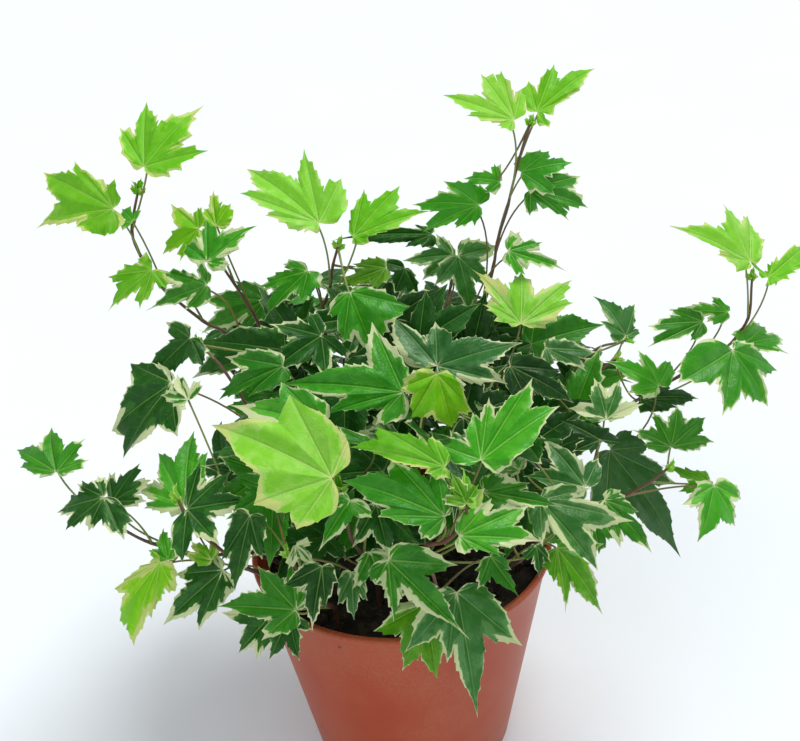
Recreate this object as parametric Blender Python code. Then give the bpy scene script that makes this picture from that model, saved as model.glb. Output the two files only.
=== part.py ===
# Potted ivy: many short leafy stems of a variegated ivy in a plain thin-walled nursery pot.
# Metres, +Z up. The origin is the centre of the pot's flat foot, and -Y is the side that is looked at.
# Each leaf is placed where it is seen: its seat, where the stalk meets the blade, and the tips of its
# lobes are read off the view as (u, v) in an 800 by 741 frame, with a depth y for the seat.

import math
import random

import bpy
from mathutils import Matrix, Vector, noise
from mathutils.bvhtree import BVHTree
from mathutils.geometry import delaunay_2d_cdt

# Pot: a 12 cm tapered nursery pot with a small rolled lip and holes in its floor.
POT_HEIGHT = 0.097
RIM_RADIUS = 0.060
FOOT_RADIUS = 0.041
WALL = 0.0015
LIP_WIDTH = 0.0010
LIP_DEPTH = 0.0030
LIP_SLOPE = 0.0006
LIP_ROUND = 0.0008
LIP_INNER_ROUND = 0.0004
FOOT_CORNER = 0.0025
POT_SIDES = 36
DRAIN_COUNT = 4
DRAIN_RADIUS = 0.004
DRAIN_CIRCLE = 0.025
DRAIN_SIDES = 12
CUTTER_OVERRUN = 0.002

# Soil: fills the pot to just under its rim, with a lumpy top and a plain hole for each stem.
SOIL_TOP = 0.086
SOIL_LUMP = 0.0022
SOIL_LUMP_RATE = 90
SOIL_SAG = 0.004
SOIL_SAG_POWER = 4
SOIL_NOISE = (0.8, 2.0, 3)
SOIL_FOOT_INSET = 0.0008
SOIL_EDGE_INSET = 0.0012
SOIL_RINGS = 4
SOIL_SIDES = 20
GAP = 0.0003
ROOT_DEPTH = 0.022
HOLE_SIDES = 5
HOLE_OVERRUN = 0.012

# Stems, stalks and blades.
STEM_RADIUS = 0.0016
STEM_END_RADIUS = 0.0009
STEM_SIDES = 5
STEM_STEP = 0.018
STALK_RADIUS = 0.00085
STALK_TIP_RADIUS = 0.00038
STALK_SIDES = 3
STALK_STEPS = 2
STALK_REACH = 0.028
STALK_SINK = 0.0022
BLADE_THICKNESS = 0.0009
CLEARANCE = 0.0004

# Above its collar a stem first rises steeply: shares of the way across and up to its first visible point.
COLLAR_RISE = 0.002
RISE_SHARES = (0.12, 0.34)

# A stalk meets its blade along this mix of the blade's forward and normal directions and straight up.
ARRIVAL = (0.55, 0.65, 0.35)
ARRIVAL_SHARE = 0.42

# View: the eye looks down at the centre of the rim, which is seen at VIEW_AIM.
VIEW_ELEVATION = math.radians(37.0)
VIEW_ROLL = math.radians(4.2)
VIEW_DISTANCE = 0.5
VIEW_FOCAL = 1236.5
VIEW_AIM = (388.8, 539.6)
FRAME_CENTRE = (400.0, 370.5)

# Materials as (name, color, roughness), and the angle under which the pot's faces are smoothed.
LEAF_FINISH = ("ivy_leaf", (0.075, 0.270, 0.030, 1.0), 0.4)
POT_FINISH = ("pot_plastic", (0.330, 0.075, 0.035, 1.0), 0.5)
SOIL_FINISH = ("soil", (0.016, 0.011, 0.008, 1.0), 0.95)
SMOOTH_ANGLE = math.radians(30)


def view_axes():
    # The eye and its forward, right and up directions.
    target = Vector((0, 0, POT_HEIGHT))
    back = Vector((0, -math.cos(VIEW_ELEVATION), math.sin(VIEW_ELEVATION)))
    eye = target + back * VIEW_DISTANCE
    forward = -back
    right = Vector((1, 0, 0))
    up = right.cross(forward)
    yaw = Matrix.Rotation(math.atan2(VIEW_AIM[0] - FRAME_CENTRE[0], VIEW_FOCAL), 3, up)
    forward = yaw @ forward
    right = yaw @ right
    pitch = Matrix.Rotation(math.atan2(VIEW_AIM[1] - FRAME_CENTRE[1], VIEW_FOCAL), 3, right)
    forward = pitch @ forward
    up = pitch @ up
    roll = Matrix.Rotation(VIEW_ROLL, 3, forward)
    return eye, forward, roll @ right, roll @ up


EYE, FORWARD, RIGHT, UP = view_axes()


def sight(u, v):
    # Direction in which a place of the view is seen.
    ray = FORWARD * VIEW_FOCAL + RIGHT * (u - FRAME_CENTRE[0]) - UP * (v - FRAME_CENTRE[1])
    return ray.normalized()


def seen(u, v, y):
    # Point seen at (u, v) whose depth is y.
    ray = sight(u, v)
    return EYE + ray * ((y - EYE.y) / ray.y)


def leaf(seat, y, tips, cut=None):
    # One leaf: its seat, the seat's depth, the tips of its lobes with the main one first, and how deep
    # the notches are between the lobes, as a share of their length, where that is not left to chance.
    return {"seat": seat, "y": y, "tips": tips, "cut": cut}


TALL_SHOOT = {
    "name": "stem_tall_shoot",
    "root": (0.016, 0.022),
    "route": [(488, 290, 0.044), (497, 243, 0.050), (508, 205, 0.053), (519, 160, 0.055), (530, 124, 0.056)],
    "leaves": [
        leaf((514, 120), 0.052, [(442, 97), (480, 77), (500, 77), (521, 92), (465, 121), (497, 127)]),
        leaf((537, 112), 0.056, [(597, 66), (553, 66), (527, 84), (570, 101), (548, 117)]),
        leaf((521, 172), 0.054, [(575, 160), (550, 150)]),
        leaf((530, 190), 0.050, [(590, 207), (581, 176), (569, 222), (532, 214)]),
        leaf((479, 205), 0.050, [(411, 205), (443, 182), (422, 232), (455, 230), (490, 190)]),
        leaf((500, 182), 0.058, [(463, 179), (494, 165)]),
        leaf((508, 251), 0.034, [(569, 272), (556, 278), (526, 276), (519, 232), (545, 241)]),
        leaf((521, 324), 0.012, [(522, 268), (470, 267), (575, 278), (574, 303), (483, 303)]),
    ],
}

BACK_SHOOT = {
    "name": "stem_back_middle",
    "root": (0.004, 0.030),
    "route": [(440, 330, 0.050), (450, 290, 0.062), (452, 262, 0.066)],
    "leaves": [
        leaf((453, 255), 0.058, [(402, 262), (436, 235), (422, 281)]),
        leaf((458, 256), 0.050, [(472, 318), (463, 240), (500, 246), (488, 287)]),
        leaf((432, 234), 0.072, [(330, 240), (415, 227), (434, 226), (405, 249), (436, 243)]),
        leaf((405, 268), 0.062, [(392, 300), (420, 302), (383, 262)]),
    ],
}

MIDDLE_SHOOT = {
    "name": "stem_middle_shoot",
    "root": (-0.010, 0.016),
    "route": [(320, 345, 0.028), (323, 310, 0.032), (330, 288, 0.034), (333, 265, 0.035), (338, 247, 0.036)],
    "leaves": [
        leaf((319, 223), 0.030, [(246, 168), (308, 158), (343, 183), (244, 203), (268, 222), (316, 231),
                                 (327, 214)]),
        leaf((353, 237), 0.034, [(432, 210), (364, 190), (400, 187), (349, 228), (372, 238), (355, 245)]),
        leaf((386, 268), 0.032, [(338, 287), (352, 264), (370, 290)]),
        leaf((308, 271), 0.026, [(263, 318), (260, 287), (283, 264), (322, 277), (303, 302)]),
        leaf((350, 292), 0.012, [(374, 352), (410, 306), (343, 343), (327, 315)], 0.12),
    ],
}

LEFT_SHOOT = {
    "name": "stem_left_shoot",
    "root": (-0.030, 0.012),
    "route": [(240, 350, 0.018), (203, 321, 0.020), (165, 290, 0.020), (141, 257, 0.021), (132, 230, 0.023),
              (138, 192, 0.025)],
    "leaves": [
        leaf((144, 167), 0.022, [(205, 105), (146, 100), (210, 153), (118, 125)]),
        leaf((113, 209), 0.020, [(33, 229), (46, 174), (83, 166), (80, 233), (118, 232), (107, 184)]),
        leaf((133, 221), 0.018, [(121, 208)]),
        leaf((152, 270), 0.008, [(103, 312), (106, 277), (141, 310), (165, 288), (135, 258)]),
        leaf((207, 285), 0.012, [(143, 312), (160, 270), (196, 263), (188, 312)]),
    ],
}

LIME_SHOOT = {
    "name": "stem_lime_shoot",
    "root": (-0.020, 0.026),
    "route": [(262, 330, 0.030), (235, 285, 0.034), (207, 245, 0.036)],
    "leaves": [
        leaf((199, 229), 0.034, [(160, 254), (170, 203), (196, 206), (180, 262)]),
        leaf((216, 226), 0.038, [(213, 189), (232, 205), (229, 225), (205, 210)]),
        leaf((207, 262), 0.026, [(258, 226), (208, 222), (250, 243), (185, 244), (232, 269)]),
        leaf((266, 300), 0.016, [(201, 334), (203, 298), (235, 281), (243, 331)]),
    ],
}

LEFT_MIDDLE = {
    "name": "stem_left_middle",
    "root": (-0.038, 0.000),
    "route": [(260, 430, -0.010), (225, 372, -0.006), (200, 345, 0.000)],
    "leaves": [
        leaf((190, 338), -0.004, [(140, 393), (168, 322), (204, 367)]),
        leaf((172, 383), -0.014, [(110, 431), (122, 459), (178, 437)], 0.15),
        leaf((285, 350), 0.004, [(190, 378), (200, 342), (240, 336), (245, 376)]),
        leaf((283, 366), -0.014, [(218, 400), (225, 357), (250, 398)]),
    ],
}

LEFT_TRAIL = {
    "name": "stem_left_trail",
    "root": (-0.046, -0.010),
    "route": [(250, 552, -0.026), (200, 556, -0.030), (152, 543, -0.031), (122, 529, -0.032),
              (92, 512, -0.030)],
    "leaves": [
        leaf((56, 472), -0.030, [(50, 425), (10, 445), (87, 438), (18, 466), (87, 457), (49, 475),
                                 (63, 474)]),
        leaf((104, 497), -0.038, [(53, 512), (67, 531), (87, 531), (119, 539), (78, 484), (98, 476)]),
        leaf((112, 502), -0.030, [(152, 480), (140, 462), (147, 501), (109, 472)]),
        leaf((188, 400), -0.030, [(176, 372), (160, 395), (196, 432)]),
    ],
}

LEFT_FRONT = {
    "name": "stem_left_front",
    "root": (-0.040, -0.026),
    "route": [(250, 570, -0.046), (215, 545, -0.048), (190, 525, -0.044), (178, 500, -0.036)],
    "leaves": [
        leaf((185, 506), -0.030, [(193, 428), (160, 455), (134, 487), (143, 508), (208, 452), (178, 511)]),
        leaf((187, 509), -0.044, [(256, 500), (234, 470), (202, 461), (222, 548), (181, 562)]),
        leaf((160, 562), -0.044, [(131, 648), (117, 622), (117, 588), (157, 617), (174, 592), (150, 560)],
             0.15),
        leaf((168, 560), -0.038, [(163, 527), (149, 551), (176, 537)]),
        leaf((223, 570), -0.048, [(161, 626), (177, 574), (199, 631), (185, 600)]),
        leaf((212, 560), -0.052, [(190, 540), (184, 556)]),
    ],
}

FRONT_LEFT = {
    "name": "stem_front_left",
    "root": (-0.026, -0.038),
    "route": [(315, 600, -0.062), (300, 575, -0.066), (288, 555, -0.066)],
    "leaves": [
        leaf((296, 610), -0.078, [(217, 607), (258, 566), (292, 563), (310, 577), (262, 641)]),
        leaf((272, 614), -0.064, [(236, 655), (222, 612), (258, 660)]),
        leaf((289, 618), -0.066, [(300, 662), (268, 662)]),
        leaf((322, 566), -0.068, [(312, 633), (328, 606)]),
        leaf((352, 572), -0.062, [(354, 621), (368, 600), (338, 604)]),
        leaf((250, 515), -0.054, [(234, 592), (222, 560), (262, 560)]),
        leaf((296, 545), -0.066, [(316, 564), (288, 570)]),
    ],
}

BRIGHT_FRONT = {
    "name": "stem_bright_front",
    "root": (-0.010, -0.026),
    "route": [(352, 540, -0.052), (346, 510, -0.058), (340, 490, -0.060)],
    "leaves": [
        leaf((332, 478), -0.072, [(210, 424), (294, 401), (347, 440), (257, 509), (297, 530)], 0.10),
        leaf((322, 424), -0.046, [(229, 404), (284, 386), (262, 440)], 0.15),
        leaf((350, 500), -0.068, [(318, 552), (372, 518), (330, 500)]),
        leaf((376, 505), -0.062, [(390, 558), (352, 548), (420, 545)]),
    ],
}

MIDDLE = {
    "name": "stem_middle",
    "root": (0.006, -0.002),
    "route": [(420, 450, -0.014), (424, 410, -0.016), (426, 380, -0.012)],
    "leaves": [
        leaf((403, 392), -0.030, [(276, 385), (372, 322), (431, 362), (326, 418), (375, 425)]),
        leaf((437, 374), -0.026, [(452, 428), (401, 388), (411, 417), (472, 412)], 0.12),
        leaf((437, 366), -0.004, [(523, 343), (506, 388), (465, 392), (435, 322), (394, 312), (417, 347)]),
        leaf((395, 440), -0.036, [(350, 432), (372, 416), (366, 446)]),
    ],
}

FRONT_SHOOT = {
    "name": "stem_front_shoot",
    "root": (0.008, -0.030),
    "route": [(425, 548, -0.070), (446, 541, -0.078), (464, 524, -0.082), (467, 504, -0.082)],
    "leaves": [
        leaf((481, 460), -0.072, [(532, 379), (560, 406), (487, 403), (472, 414), (441, 446), (543, 434)]),
        leaf((445, 467), -0.078, [(347, 445), (377, 427), (432, 436), (449, 452), (425, 475), (450, 476)],
             0.12),
        leaf((445, 517), -0.086, [(342, 480), (379, 520), (421, 540), (438, 472), (392, 462), (452, 500),
                                  (441, 531)], 0.14),
        leaf((459, 536), -0.086, [(543, 541), (528, 506), (490, 500), (498, 559), (470, 553)]),
        leaf((466, 504), -0.086, [(450, 470)]),
        leaf((520, 470), -0.056, [(500, 462), (486, 474), (524, 452)]),
    ],
}

FRONT_HANG = {
    "name": "stem_front_hang",
    "root": (0.022, -0.038),
    "route": [(440, 592, -0.062), (432, 572, -0.068), (415, 560, -0.072)],
    "leaves": [
        leaf((388, 560), -0.080, [(470, 640), (393, 622), (377, 583), (458, 565)]),
        leaf((457, 592), -0.070, [(478, 719), (521, 644), (404, 652), (445, 660)]),
        leaf((425, 604), -0.064, [(437, 679), (402, 671), (373, 631)]),
        leaf((490, 556), -0.068, [(519, 597), (478, 590), (512, 570)]),
        leaf((536, 545), -0.056, [(540, 578), (550, 562)]),
        leaf((370, 552), -0.064, [(386, 590), (352, 590)]),
    ],
}

RIGHT_FRONT = {
    "name": "stem_right_front",
    "root": (0.036, -0.022),
    "route": [(520, 560, -0.040), (548, 530, -0.048), (566, 506, -0.048)],
    "leaves": [
        leaf((483, 492), -0.068, [(563, 507), (528, 484), (516, 508)]),
        leaf((540, 500), -0.066, [(597, 571), (632, 521), (584, 488), (538, 546)]),
        leaf((585, 487), -0.042, [(523, 476), (540, 434), (600, 455)]),
        leaf((557, 548), -0.050, [(606, 616), (564, 614), (552, 582)]),
        leaf((604, 500), -0.040, [(650, 553), (633, 512), (616, 548)]),
        leaf((592, 520), -0.036, [(599, 555), (621, 537)]),
    ],
}

RIGHT_TRAIL = {
    "name": "stem_right_trail",
    "root": (0.046, -0.008),
    "route": [(560, 528, -0.014), (622, 497, -0.018), (650, 482, -0.020), (668, 468, -0.020)],
    "leaves": [
        leaf((714, 485), -0.020, [(700, 543), (741, 527), (682, 505), (746, 500)]),
        leaf((708, 482), -0.012, [(660, 465), (678, 492), (690, 470), (710, 475)]),
        leaf((610, 450), -0.004, [(685, 558), (653, 541), (648, 446), (672, 484)]),
        leaf((671, 447), -0.006, [(677, 404), (717, 440), (707, 416), (633, 426), (650, 412), (646, 441),
                                  (680, 449)]),
    ],
}

RIGHT_MIDDLE = {
    "name": "stem_right_middle",
    "root": (0.036, 0.006),
    "route": [(560, 500, -0.004), (590, 470, -0.006), (600, 440, -0.004)],
    "leaves": [
        leaf((606, 419), -0.012, [(594, 377), (568, 409), (619, 382), (644, 404)]),
        leaf((545, 348), 0.006, [(588, 371), (598, 352), (550, 368)]),
        leaf((510, 366), -0.002, [(576, 402), (560, 372), (530, 412)]),
        leaf((659, 386), 0.012, [(604, 360), (638, 349), (673, 358), (626, 394)]),
        leaf((600, 440), -0.020, [(560, 420), (572, 452), (628, 438)]),
    ],
}

RIGHT_BACK = {
    "name": "stem_right_back",
    "root": (0.028, 0.016),
    "route": [(540, 420, 0.020), (580, 385, 0.028), (615, 360, 0.034)],
    "leaves": [
        leaf((626, 336), 0.040, [(593, 294), (636, 302), (599, 323), (640, 328)]),
        leaf((531, 344), 0.020, [(607, 323), (580, 321), (576, 343)]),
        leaf((640, 398), 0.014, [(700, 399), (676, 410), (668, 386)]),
    ],
}

RIGHT_SHOOT = {
    "name": "stem_right_shoot",
    "root": (0.032, 0.026),
    "route": [(620, 410, 0.030), (680, 376, 0.032), (722, 351, 0.032), (748, 318, 0.030), (752, 278, 0.030)],
    "leaves": [
        leaf((750, 262), 0.028, [(670, 222), (723, 203), (751, 209), (762, 230), (714, 257), (748, 270)]),
        leaf((768, 278), 0.030, [(814, 240), (793, 227), (808, 264), (774, 258), (771, 285), (764, 272)],
             0.15),
        leaf((728, 312), 0.030, [(667, 311), (711, 297), (704, 324), (729, 319), (731, 306)]),
        leaf((703, 322), 0.020, [(648, 325), (648, 347), (690, 341), (668, 309)]),
        leaf((742, 345), 0.020, [(787, 338), (785, 358), (757, 358), (765, 327)]),
        leaf((733, 350), 0.010, [(767, 407), (777, 371), (719, 417), (683, 385), (716, 353)]),
    ],
}

STEMS = [TALL_SHOOT, BACK_SHOOT, MIDDLE_SHOOT, LEFT_SHOOT, LIME_SHOOT, LEFT_MIDDLE, LEFT_TRAIL, LEFT_FRONT,
         FRONT_LEFT, BRIGHT_FRONT, MIDDLE, FRONT_SHOOT, FRONT_HANG, RIGHT_FRONT, RIGHT_TRAIL, RIGHT_MIDDLE,
         RIGHT_BACK, RIGHT_SHOOT]

# Stems at the back, which the view hides, as name: (root, tip). Like the others they bear fill leaves.
BACK_RISE = 0.55
BACK_LIFT = 0.02
BACK_STEMS = {
    "stem_back_left": ((-0.034, 0.026), (-0.085, 0.060, 0.160)),
    "stem_back_far_left": ((-0.024, 0.040), (-0.052, 0.100, 0.150)),
    "stem_back_far": ((0.000, 0.046), (0.004, 0.108, 0.160)),
    "stem_back_far_right": ((0.022, 0.042), (0.056, 0.098, 0.150)),
    "stem_back_right": ((0.044, 0.018), (0.100, 0.056, 0.150)),
}

# Fill leaves close the bush between the leaves that are placed by hand. Each is drawn at random round a
# stem, and of a few draws that are clear the one furthest from the other leaves is kept. In the view
# they stay inside FILL_OUTLINE, the outline of the bush's dense middle.
FILL_COUNT = 44
FILL_DRAWS = 60
FILL_CHOICES = 6
FILL_REACH = (0.014, 0.030)
FILL_LENGTH = (0.028, 0.040)
FILL_FIRST = 3
FILL_AXIS = Vector((0.0, 0.008, 0.0))
FILL_SPREAD = 70
FILL_SEAT_RISE = (-0.3, 0.9)
FILL_TIP_RISE = (-0.9, 0.1)
FILL_FACE = (0.5, 0.9)
FILL_LOBES = ((-56, 0.72), (56, 0.72), (-108, 0.48), (108, 0.48))
FILL_LOBE_TURN = 6
FILL_FLOOR = POT_HEIGHT + 0.004
FILL_OUTLINE = [(178, 300), (262, 282), (400, 266), (556, 300), (640, 372), (640, 520), (548, 596),
                (470, 612), (310, 606), (205, 566), (196, 470), (222, 408)]


# How the blades face: the elevation of a level blade's normal, how much that falls for a blade that hangs
# and rises for one that points up, and how far it turns outwards, in degrees and degrees per metre.
FACE_ELEVATION = 50
HANGING_TILT = 26
RISING_TILT = 12
SIDE_TURN = 308
LOBE_TURN = 14

# Lobes that a leaf has where its row names none, as (degrees from the midrib, share of its length).
SIDE_LOBE = (54, 0.62)
BASE_LOBE = (97, 0.19)
BASE_TURN = 34
LOBED_BEYOND = 80
MAIN_GAP = 12
LAST_ANGLE = 150
LOBE_SPACING = 15
REACH_LIMIT = 1.15

# Edge of a blade: the points beside its base, the spread of two lobes that have a full notch between them,
# how far the notch leans to the shorter lobe, and the shoulders that swell the main lobe's sides.
CORNER_TURN = 24
CORNER_SHARE = 0.62
FULL_SPREAD = 46
NOTCH_LEAN = 0.12
EDGE_LIMIT = 168
SHOULDER_TURN = 0.60
SHOULDER_SHARES = (0.33, 0.69)

# Points inside the blade, on its midrib, as shares of its length. Fill leaves are plainer.
MIDRIB_POINTS = (0.28, 0.62)
PLAIN_MIDRIB_POINTS = (0.36,)
MERGE_DISTANCE = 1e-7

# The blade's own curves are drawn at random: arch, droop of the lobes, fold, and depth of the notches.
ARCH = (0.04, 0.11)
DROOP = (0.06, 0.26)
FOLD = (-0.06, 0.12)
CUT = (0.28, 0.40)
SEED = 7


def facing(row, seat):
    # Normal of a blade. Blades that hang face the viewer, blades that point up or away face the sky,
    # and those at the sides turn outwards.
    across = row["tips"][0][0] - row["seat"][0]
    down = row["tips"][0][1] - row["seat"][1]
    span = math.hypot(across, down)
    slope = (HANGING_TILT if down > 0 else RISING_TILT) * down / span
    elevation = math.radians(FACE_ELEVATION - slope)
    azimuth = math.radians(SIDE_TURN * seat.x + LOBE_TURN * across / span)
    flat = math.cos(elevation)
    return Vector((math.sin(azimuth) * flat, -math.cos(azimuth) * flat, math.sin(elevation)))


def blade_shape(seat, normal, tips):
    # Lobes of a blade as (angle, reach) round its seat, from the left one to the right one.
    main = tips[0] - seat
    length = main.length
    forward = main.normalized()
    side = forward.cross(normal)
    lobes = [(0.0, length)]
    for tip in tips[1:]:
        arm = tip - seat
        angle = math.degrees(math.atan2(arm.dot(side), arm.dot(forward)))
        if MAIN_GAP < abs(angle) < LAST_ANGLE:
            lobes.append((angle, min(arm.length, REACH_LIMIT * length)))
    for hand in (-1, 1):
        angles = [angle * hand for angle, reach in lobes if angle * hand > 0]
        if not angles:
            lobes.append((hand * SIDE_LOBE[0], SIDE_LOBE[1] * length))
            lobes.append((hand * BASE_LOBE[0], BASE_LOBE[1] * length))
        elif max(angles) < LOBED_BEYOND:
            lobes.append((hand * max(BASE_LOBE[0], max(angles) + BASE_TURN), BASE_LOBE[1] * length))
    lobes.sort()
    spaced = []
    for lobe in lobes:
        if spaced and lobe[0] - spaced[-1][0] < LOBE_SPACING:
            if spaced[-1][0] == 0.0 or (lobe[0] != 0.0 and spaced[-1][1] > lobe[1]):
                continue
            spaced.pop()
        spaced.append(lobe)
    return {"seat": seat, "normal": normal, "forward": forward, "side": side, "length": length,
            "lobes": spaced}


def outline(shape):
    # Edge of a blade as flat points, by angle round the seat: base, lobe tips and the notches between.
    lobes = shape["lobes"]
    polar = [(lobes[0][0] - CORNER_TURN, CORNER_SHARE * lobes[0][1])]
    for index, (angle, reach) in enumerate(lobes):
        polar.append((angle, reach))
        if index + 1 == len(lobes):
            break
        next_angle, next_reach = lobes[index + 1]
        spread = next_angle - angle
        depth = shape["cut"] * min(1.0, spread / FULL_SPREAD)
        lean = NOTCH_LEAN * (reach - next_reach) / max(reach, next_reach)
        notch_angle = angle + spread * (0.5 + lean)
        notch_reach = min(reach, next_reach) * (1 - depth)
        if angle == 0.0 and not shape.get("plain"):
            polar.append(shoulder(angle, reach, notch_angle, notch_reach))
        polar.append((notch_angle, notch_reach))
        if next_angle == 0.0 and not shape.get("plain"):
            polar.append(shoulder(next_angle, next_reach, notch_angle, notch_reach))
    polar.append((lobes[-1][0] + CORNER_TURN, CORNER_SHARE * lobes[-1][1]))
    points = [Vector((0.0, 0.0))]
    for angle, reach in polar:
        turn = math.radians(max(-EDGE_LIMIT, min(EDGE_LIMIT, angle)))
        points.append(Vector((math.sin(turn), math.cos(turn))) * reach)
    return points


def shoulder(tip_angle, tip_reach, notch_angle, notch_reach):
    # Point that swells the main lobe's side between its notch and its tip.
    reach = SHOULDER_SHARES[0] * tip_reach + SHOULDER_SHARES[1] * notch_reach
    return tip_angle + SHOULDER_TURN * (notch_angle - tip_angle), reach


def lift(shape, x, y):
    # Height of the blade over its flat plane: arched along the midrib, with lobes that droop.
    length = shape["length"]
    along = y / length
    arch = shape["arch"] * 4 * along * (1 - along) * length
    return arch - shape["droop"] * x * x / length + shape["fold"] * abs(x)


def blade_mesh(shape, thickness, swell):
    # Closed thin blade whose two faces are split into the same triangles.
    edge = [point * swell for point in outline(shape)]
    shares = PLAIN_MIDRIB_POINTS if shape.get("plain") else MIDRIB_POINTS
    inner = [Vector((0, share * shape["length"])) for share in shares]
    count = len(edge)
    loop = [(index, (index + 1) % count) for index in range(count)]
    flat, _, triangles, _, _, _ = delaunay_2d_cdt(edge + inner, loop, [], 1, MERGE_DISTANCE)
    top = []
    bottom = []
    for point in flat:
        height = lift(shape, point.x, point.y)
        middle = shape["seat"] + shape["side"] * point.x + shape["forward"] * point.y
        middle += shape["normal"] * height
        top.append(middle + shape["normal"] * 0.5 * thickness)
        bottom.append(middle - shape["normal"] * 0.5 * thickness)
    size = len(flat)
    faces = []
    for triangle in triangles:
        a, b, c = triangle
        turn = (flat[b] - flat[a]).cross(flat[c] - flat[a])
        if turn < 0:
            a, c = c, a
        faces.append((a, b, c))
        faces.append((c + size, b + size, a + size))
    edges = {}
    for a, b, c in faces[0::2]:
        for pair in ((a, b), (b, c), (c, a)):
            edges[pair] = True
    for a, b in list(edges):
        if (b, a) not in edges:
            faces.append((b, a, a + size))
            faces.append((b, a + size, b + size))
    return top + bottom, faces


def tube_mesh(points, radii, sides):
    # Closed tube along points, capped at both ends.
    directions = []
    for index in range(len(points)):
        before = points[max(index - 1, 0)]
        after = points[min(index + 1, len(points) - 1)]
        directions.append((after - before).normalized())
    normal = directions[0].orthogonal().normalized()
    verts = []
    for index, point in enumerate(points):
        normal = (normal - directions[index] * normal.dot(directions[index])).normalized()
        across = directions[index].cross(normal)
        for side in range(sides):
            turn = 2 * math.pi * side / sides
            verts.append(point + (normal * math.cos(turn) + across * math.sin(turn)) * radii[index])
    faces = []
    for index in range(len(points) - 1):
        for side in range(sides):
            a = index * sides + side
            b = index * sides + (side + 1) % sides
            faces.append((a, b, b + sides))
            faces.append((a, b + sides, a + sides))
    last = (len(points) - 1) * sides
    for side in range(1, sides - 1):
        faces.append((0, side + 1, side))
        faces.append((last, last + side, last + side + 1))
    return verts, faces


def smooth_path(points, step):
    # Points about one step apart on a smooth curve through the given points.
    ends = [points[0] * 2 - points[1]] + points + [points[-1] * 2 - points[-2]]
    path = [points[0]]
    for index in range(1, len(ends) - 2):
        p0, p1, p2, p3 = ends[index - 1:index + 3]
        count = max(1, round((p2 - p1).length / step))
        for part in range(1, count + 1):
            t = part / count
            path.append(0.5 * (2 * p1 + (p2 - p0) * t + (2 * p0 - 5 * p1 + 4 * p2 - p3) * t * t
                               + (3 * p1 - p0 - 3 * p2 + p3) * t * t * t))
    return path


def stem_path(root, visible):
    # Route of a stem from the bottom of its hole, straight up out of the soil, to its growing tip.
    foot = Vector((root[0], root[1], SOIL_TOP - ROOT_DEPTH))
    collar = Vector((root[0], root[1], SOIL_TOP + COLLAR_RISE))
    first = visible[0] - collar
    rise = collar + Vector((RISE_SHARES[0] * first.x, RISE_SHARES[0] * first.y, RISE_SHARES[1] * first.z))
    return [foot] + smooth_path([collar, rise] + visible, STEM_STEP)


def stem_radii(path):
    count = len(path) - 1
    return [STEM_RADIUS + (STEM_END_RADIUS - STEM_RADIUS) * index / count for index in range(count + 1)]


def stalk_path(station, shape, bend):
    # Leaf stalk from its station on the stem to just inside the blade, coming in from below.
    seat = shape["seat"]
    span = (seat - station).length
    inside = seat + shape["forward"] * STALK_SINK
    inside += shape["normal"] * lift(shape, 0.0, STALK_SINK)
    arrive = shape["forward"] * ARRIVAL[0] + shape["normal"] * ARRIVAL[1] + Vector((0, 0, ARRIVAL[2]))
    hold = inside - arrive.normalized() * ARRIVAL_SHARE * span
    hold += shape["side"] * bend[0] * span + Vector((0, 0, bend[1] * span))
    path = []
    for index in range(STALK_STEPS + 1):
        t = index / STALK_STEPS
        path.append(station * (1 - t) ** 2 + hold * 2 * t * (1 - t) + inside * t * t)
    return path


def stalk_radii(route, extra=0.0):
    # Even along the stalk, then thin where it runs into the blade.
    return [STALK_RADIUS + extra] * (len(route) - 1) + [STALK_TIP_RADIUS + extra]


def box_of(verts):
    low = Vector((min(v.x for v in verts), min(v.y for v in verts), min(v.z for v in verts)))
    high = Vector((max(v.x for v in verts), max(v.y for v in verts), max(v.z for v in verts)))
    return low, high


class Thicket:
    # What has been placed so far, so that a new leaf can be tried against it.
    def __init__(self):
        self.solids = []

    def add(self, mesh, stem, part):
        low, high = box_of(mesh[0])
        self.solids.append((low, high, BVHTree.FromPolygons(*mesh), stem, part))

    def clear(self, mesh, stem=None, allowed=()):
        low, high = box_of(mesh[0])
        tree = BVHTree.FromPolygons(*mesh)
        for other_low, other_high, other_tree, other_stem, part in self.solids:
            if other_stem == stem and part in allowed:
                continue
            if any(low[k] > other_high[k] or high[k] < other_low[k] for k in range(3)):
                continue
            if tree.overlap(other_tree):
                return False
        return True


# Costs of a place on the stem that lies above the leaf, and of one that already bears a leaf.
ABOVE_COST = 0.6
ABOVE_MARGIN = 0.004
TAKEN_COST = 0.003
STATION_CHOICES = 5
FIRST_STATION = 2


def stations(path, seat, used):
    # Places on the stem that suit a leaf, best first: about a stalk's reach away and not above it.
    ranked = []
    for index in range(FIRST_STATION, len(path)):
        cost = abs((seat - path[index]).length - STALK_REACH)
        cost += ABOVE_COST * max(0.0, path[index].z - seat.z + ABOVE_MARGIN)
        cost += TAKEN_COST * used.count(index)
        ranked.append((cost, index))
    ranked.sort()
    return [index for cost, index in ranked[:STATION_CHOICES]]


# How a leaf is tried: steps along the line of sight, and bends of its stalk, across and up.
SHIFTS = (0, 1, -1, 2, -2, 3, -3, 4, -4, 5, -5, 6, -6, 8, -8, 10, -10)
SHIFT_STEP = 0.0025
SWELL = 1.03
GUARD_MARGIN = 0.002
BENDS = ((0, 0), (0, 0.15), (0.2, 0), (-0.2, 0), (0, -0.2), (0.3, 0.15), (-0.3, 0.15), (0.4, -0.1),
         (-0.4, -0.1), (0, 0.4), (0, -0.4))


def shaped(shape, rng):
    shape["arch"] = rng.uniform(*ARCH)
    shape["droop"] = rng.uniform(*DROOP)
    shape["fold"] = rng.uniform(*FOLD)
    shape["cut"] = rng.uniform(*CUT)
    return shape


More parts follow.
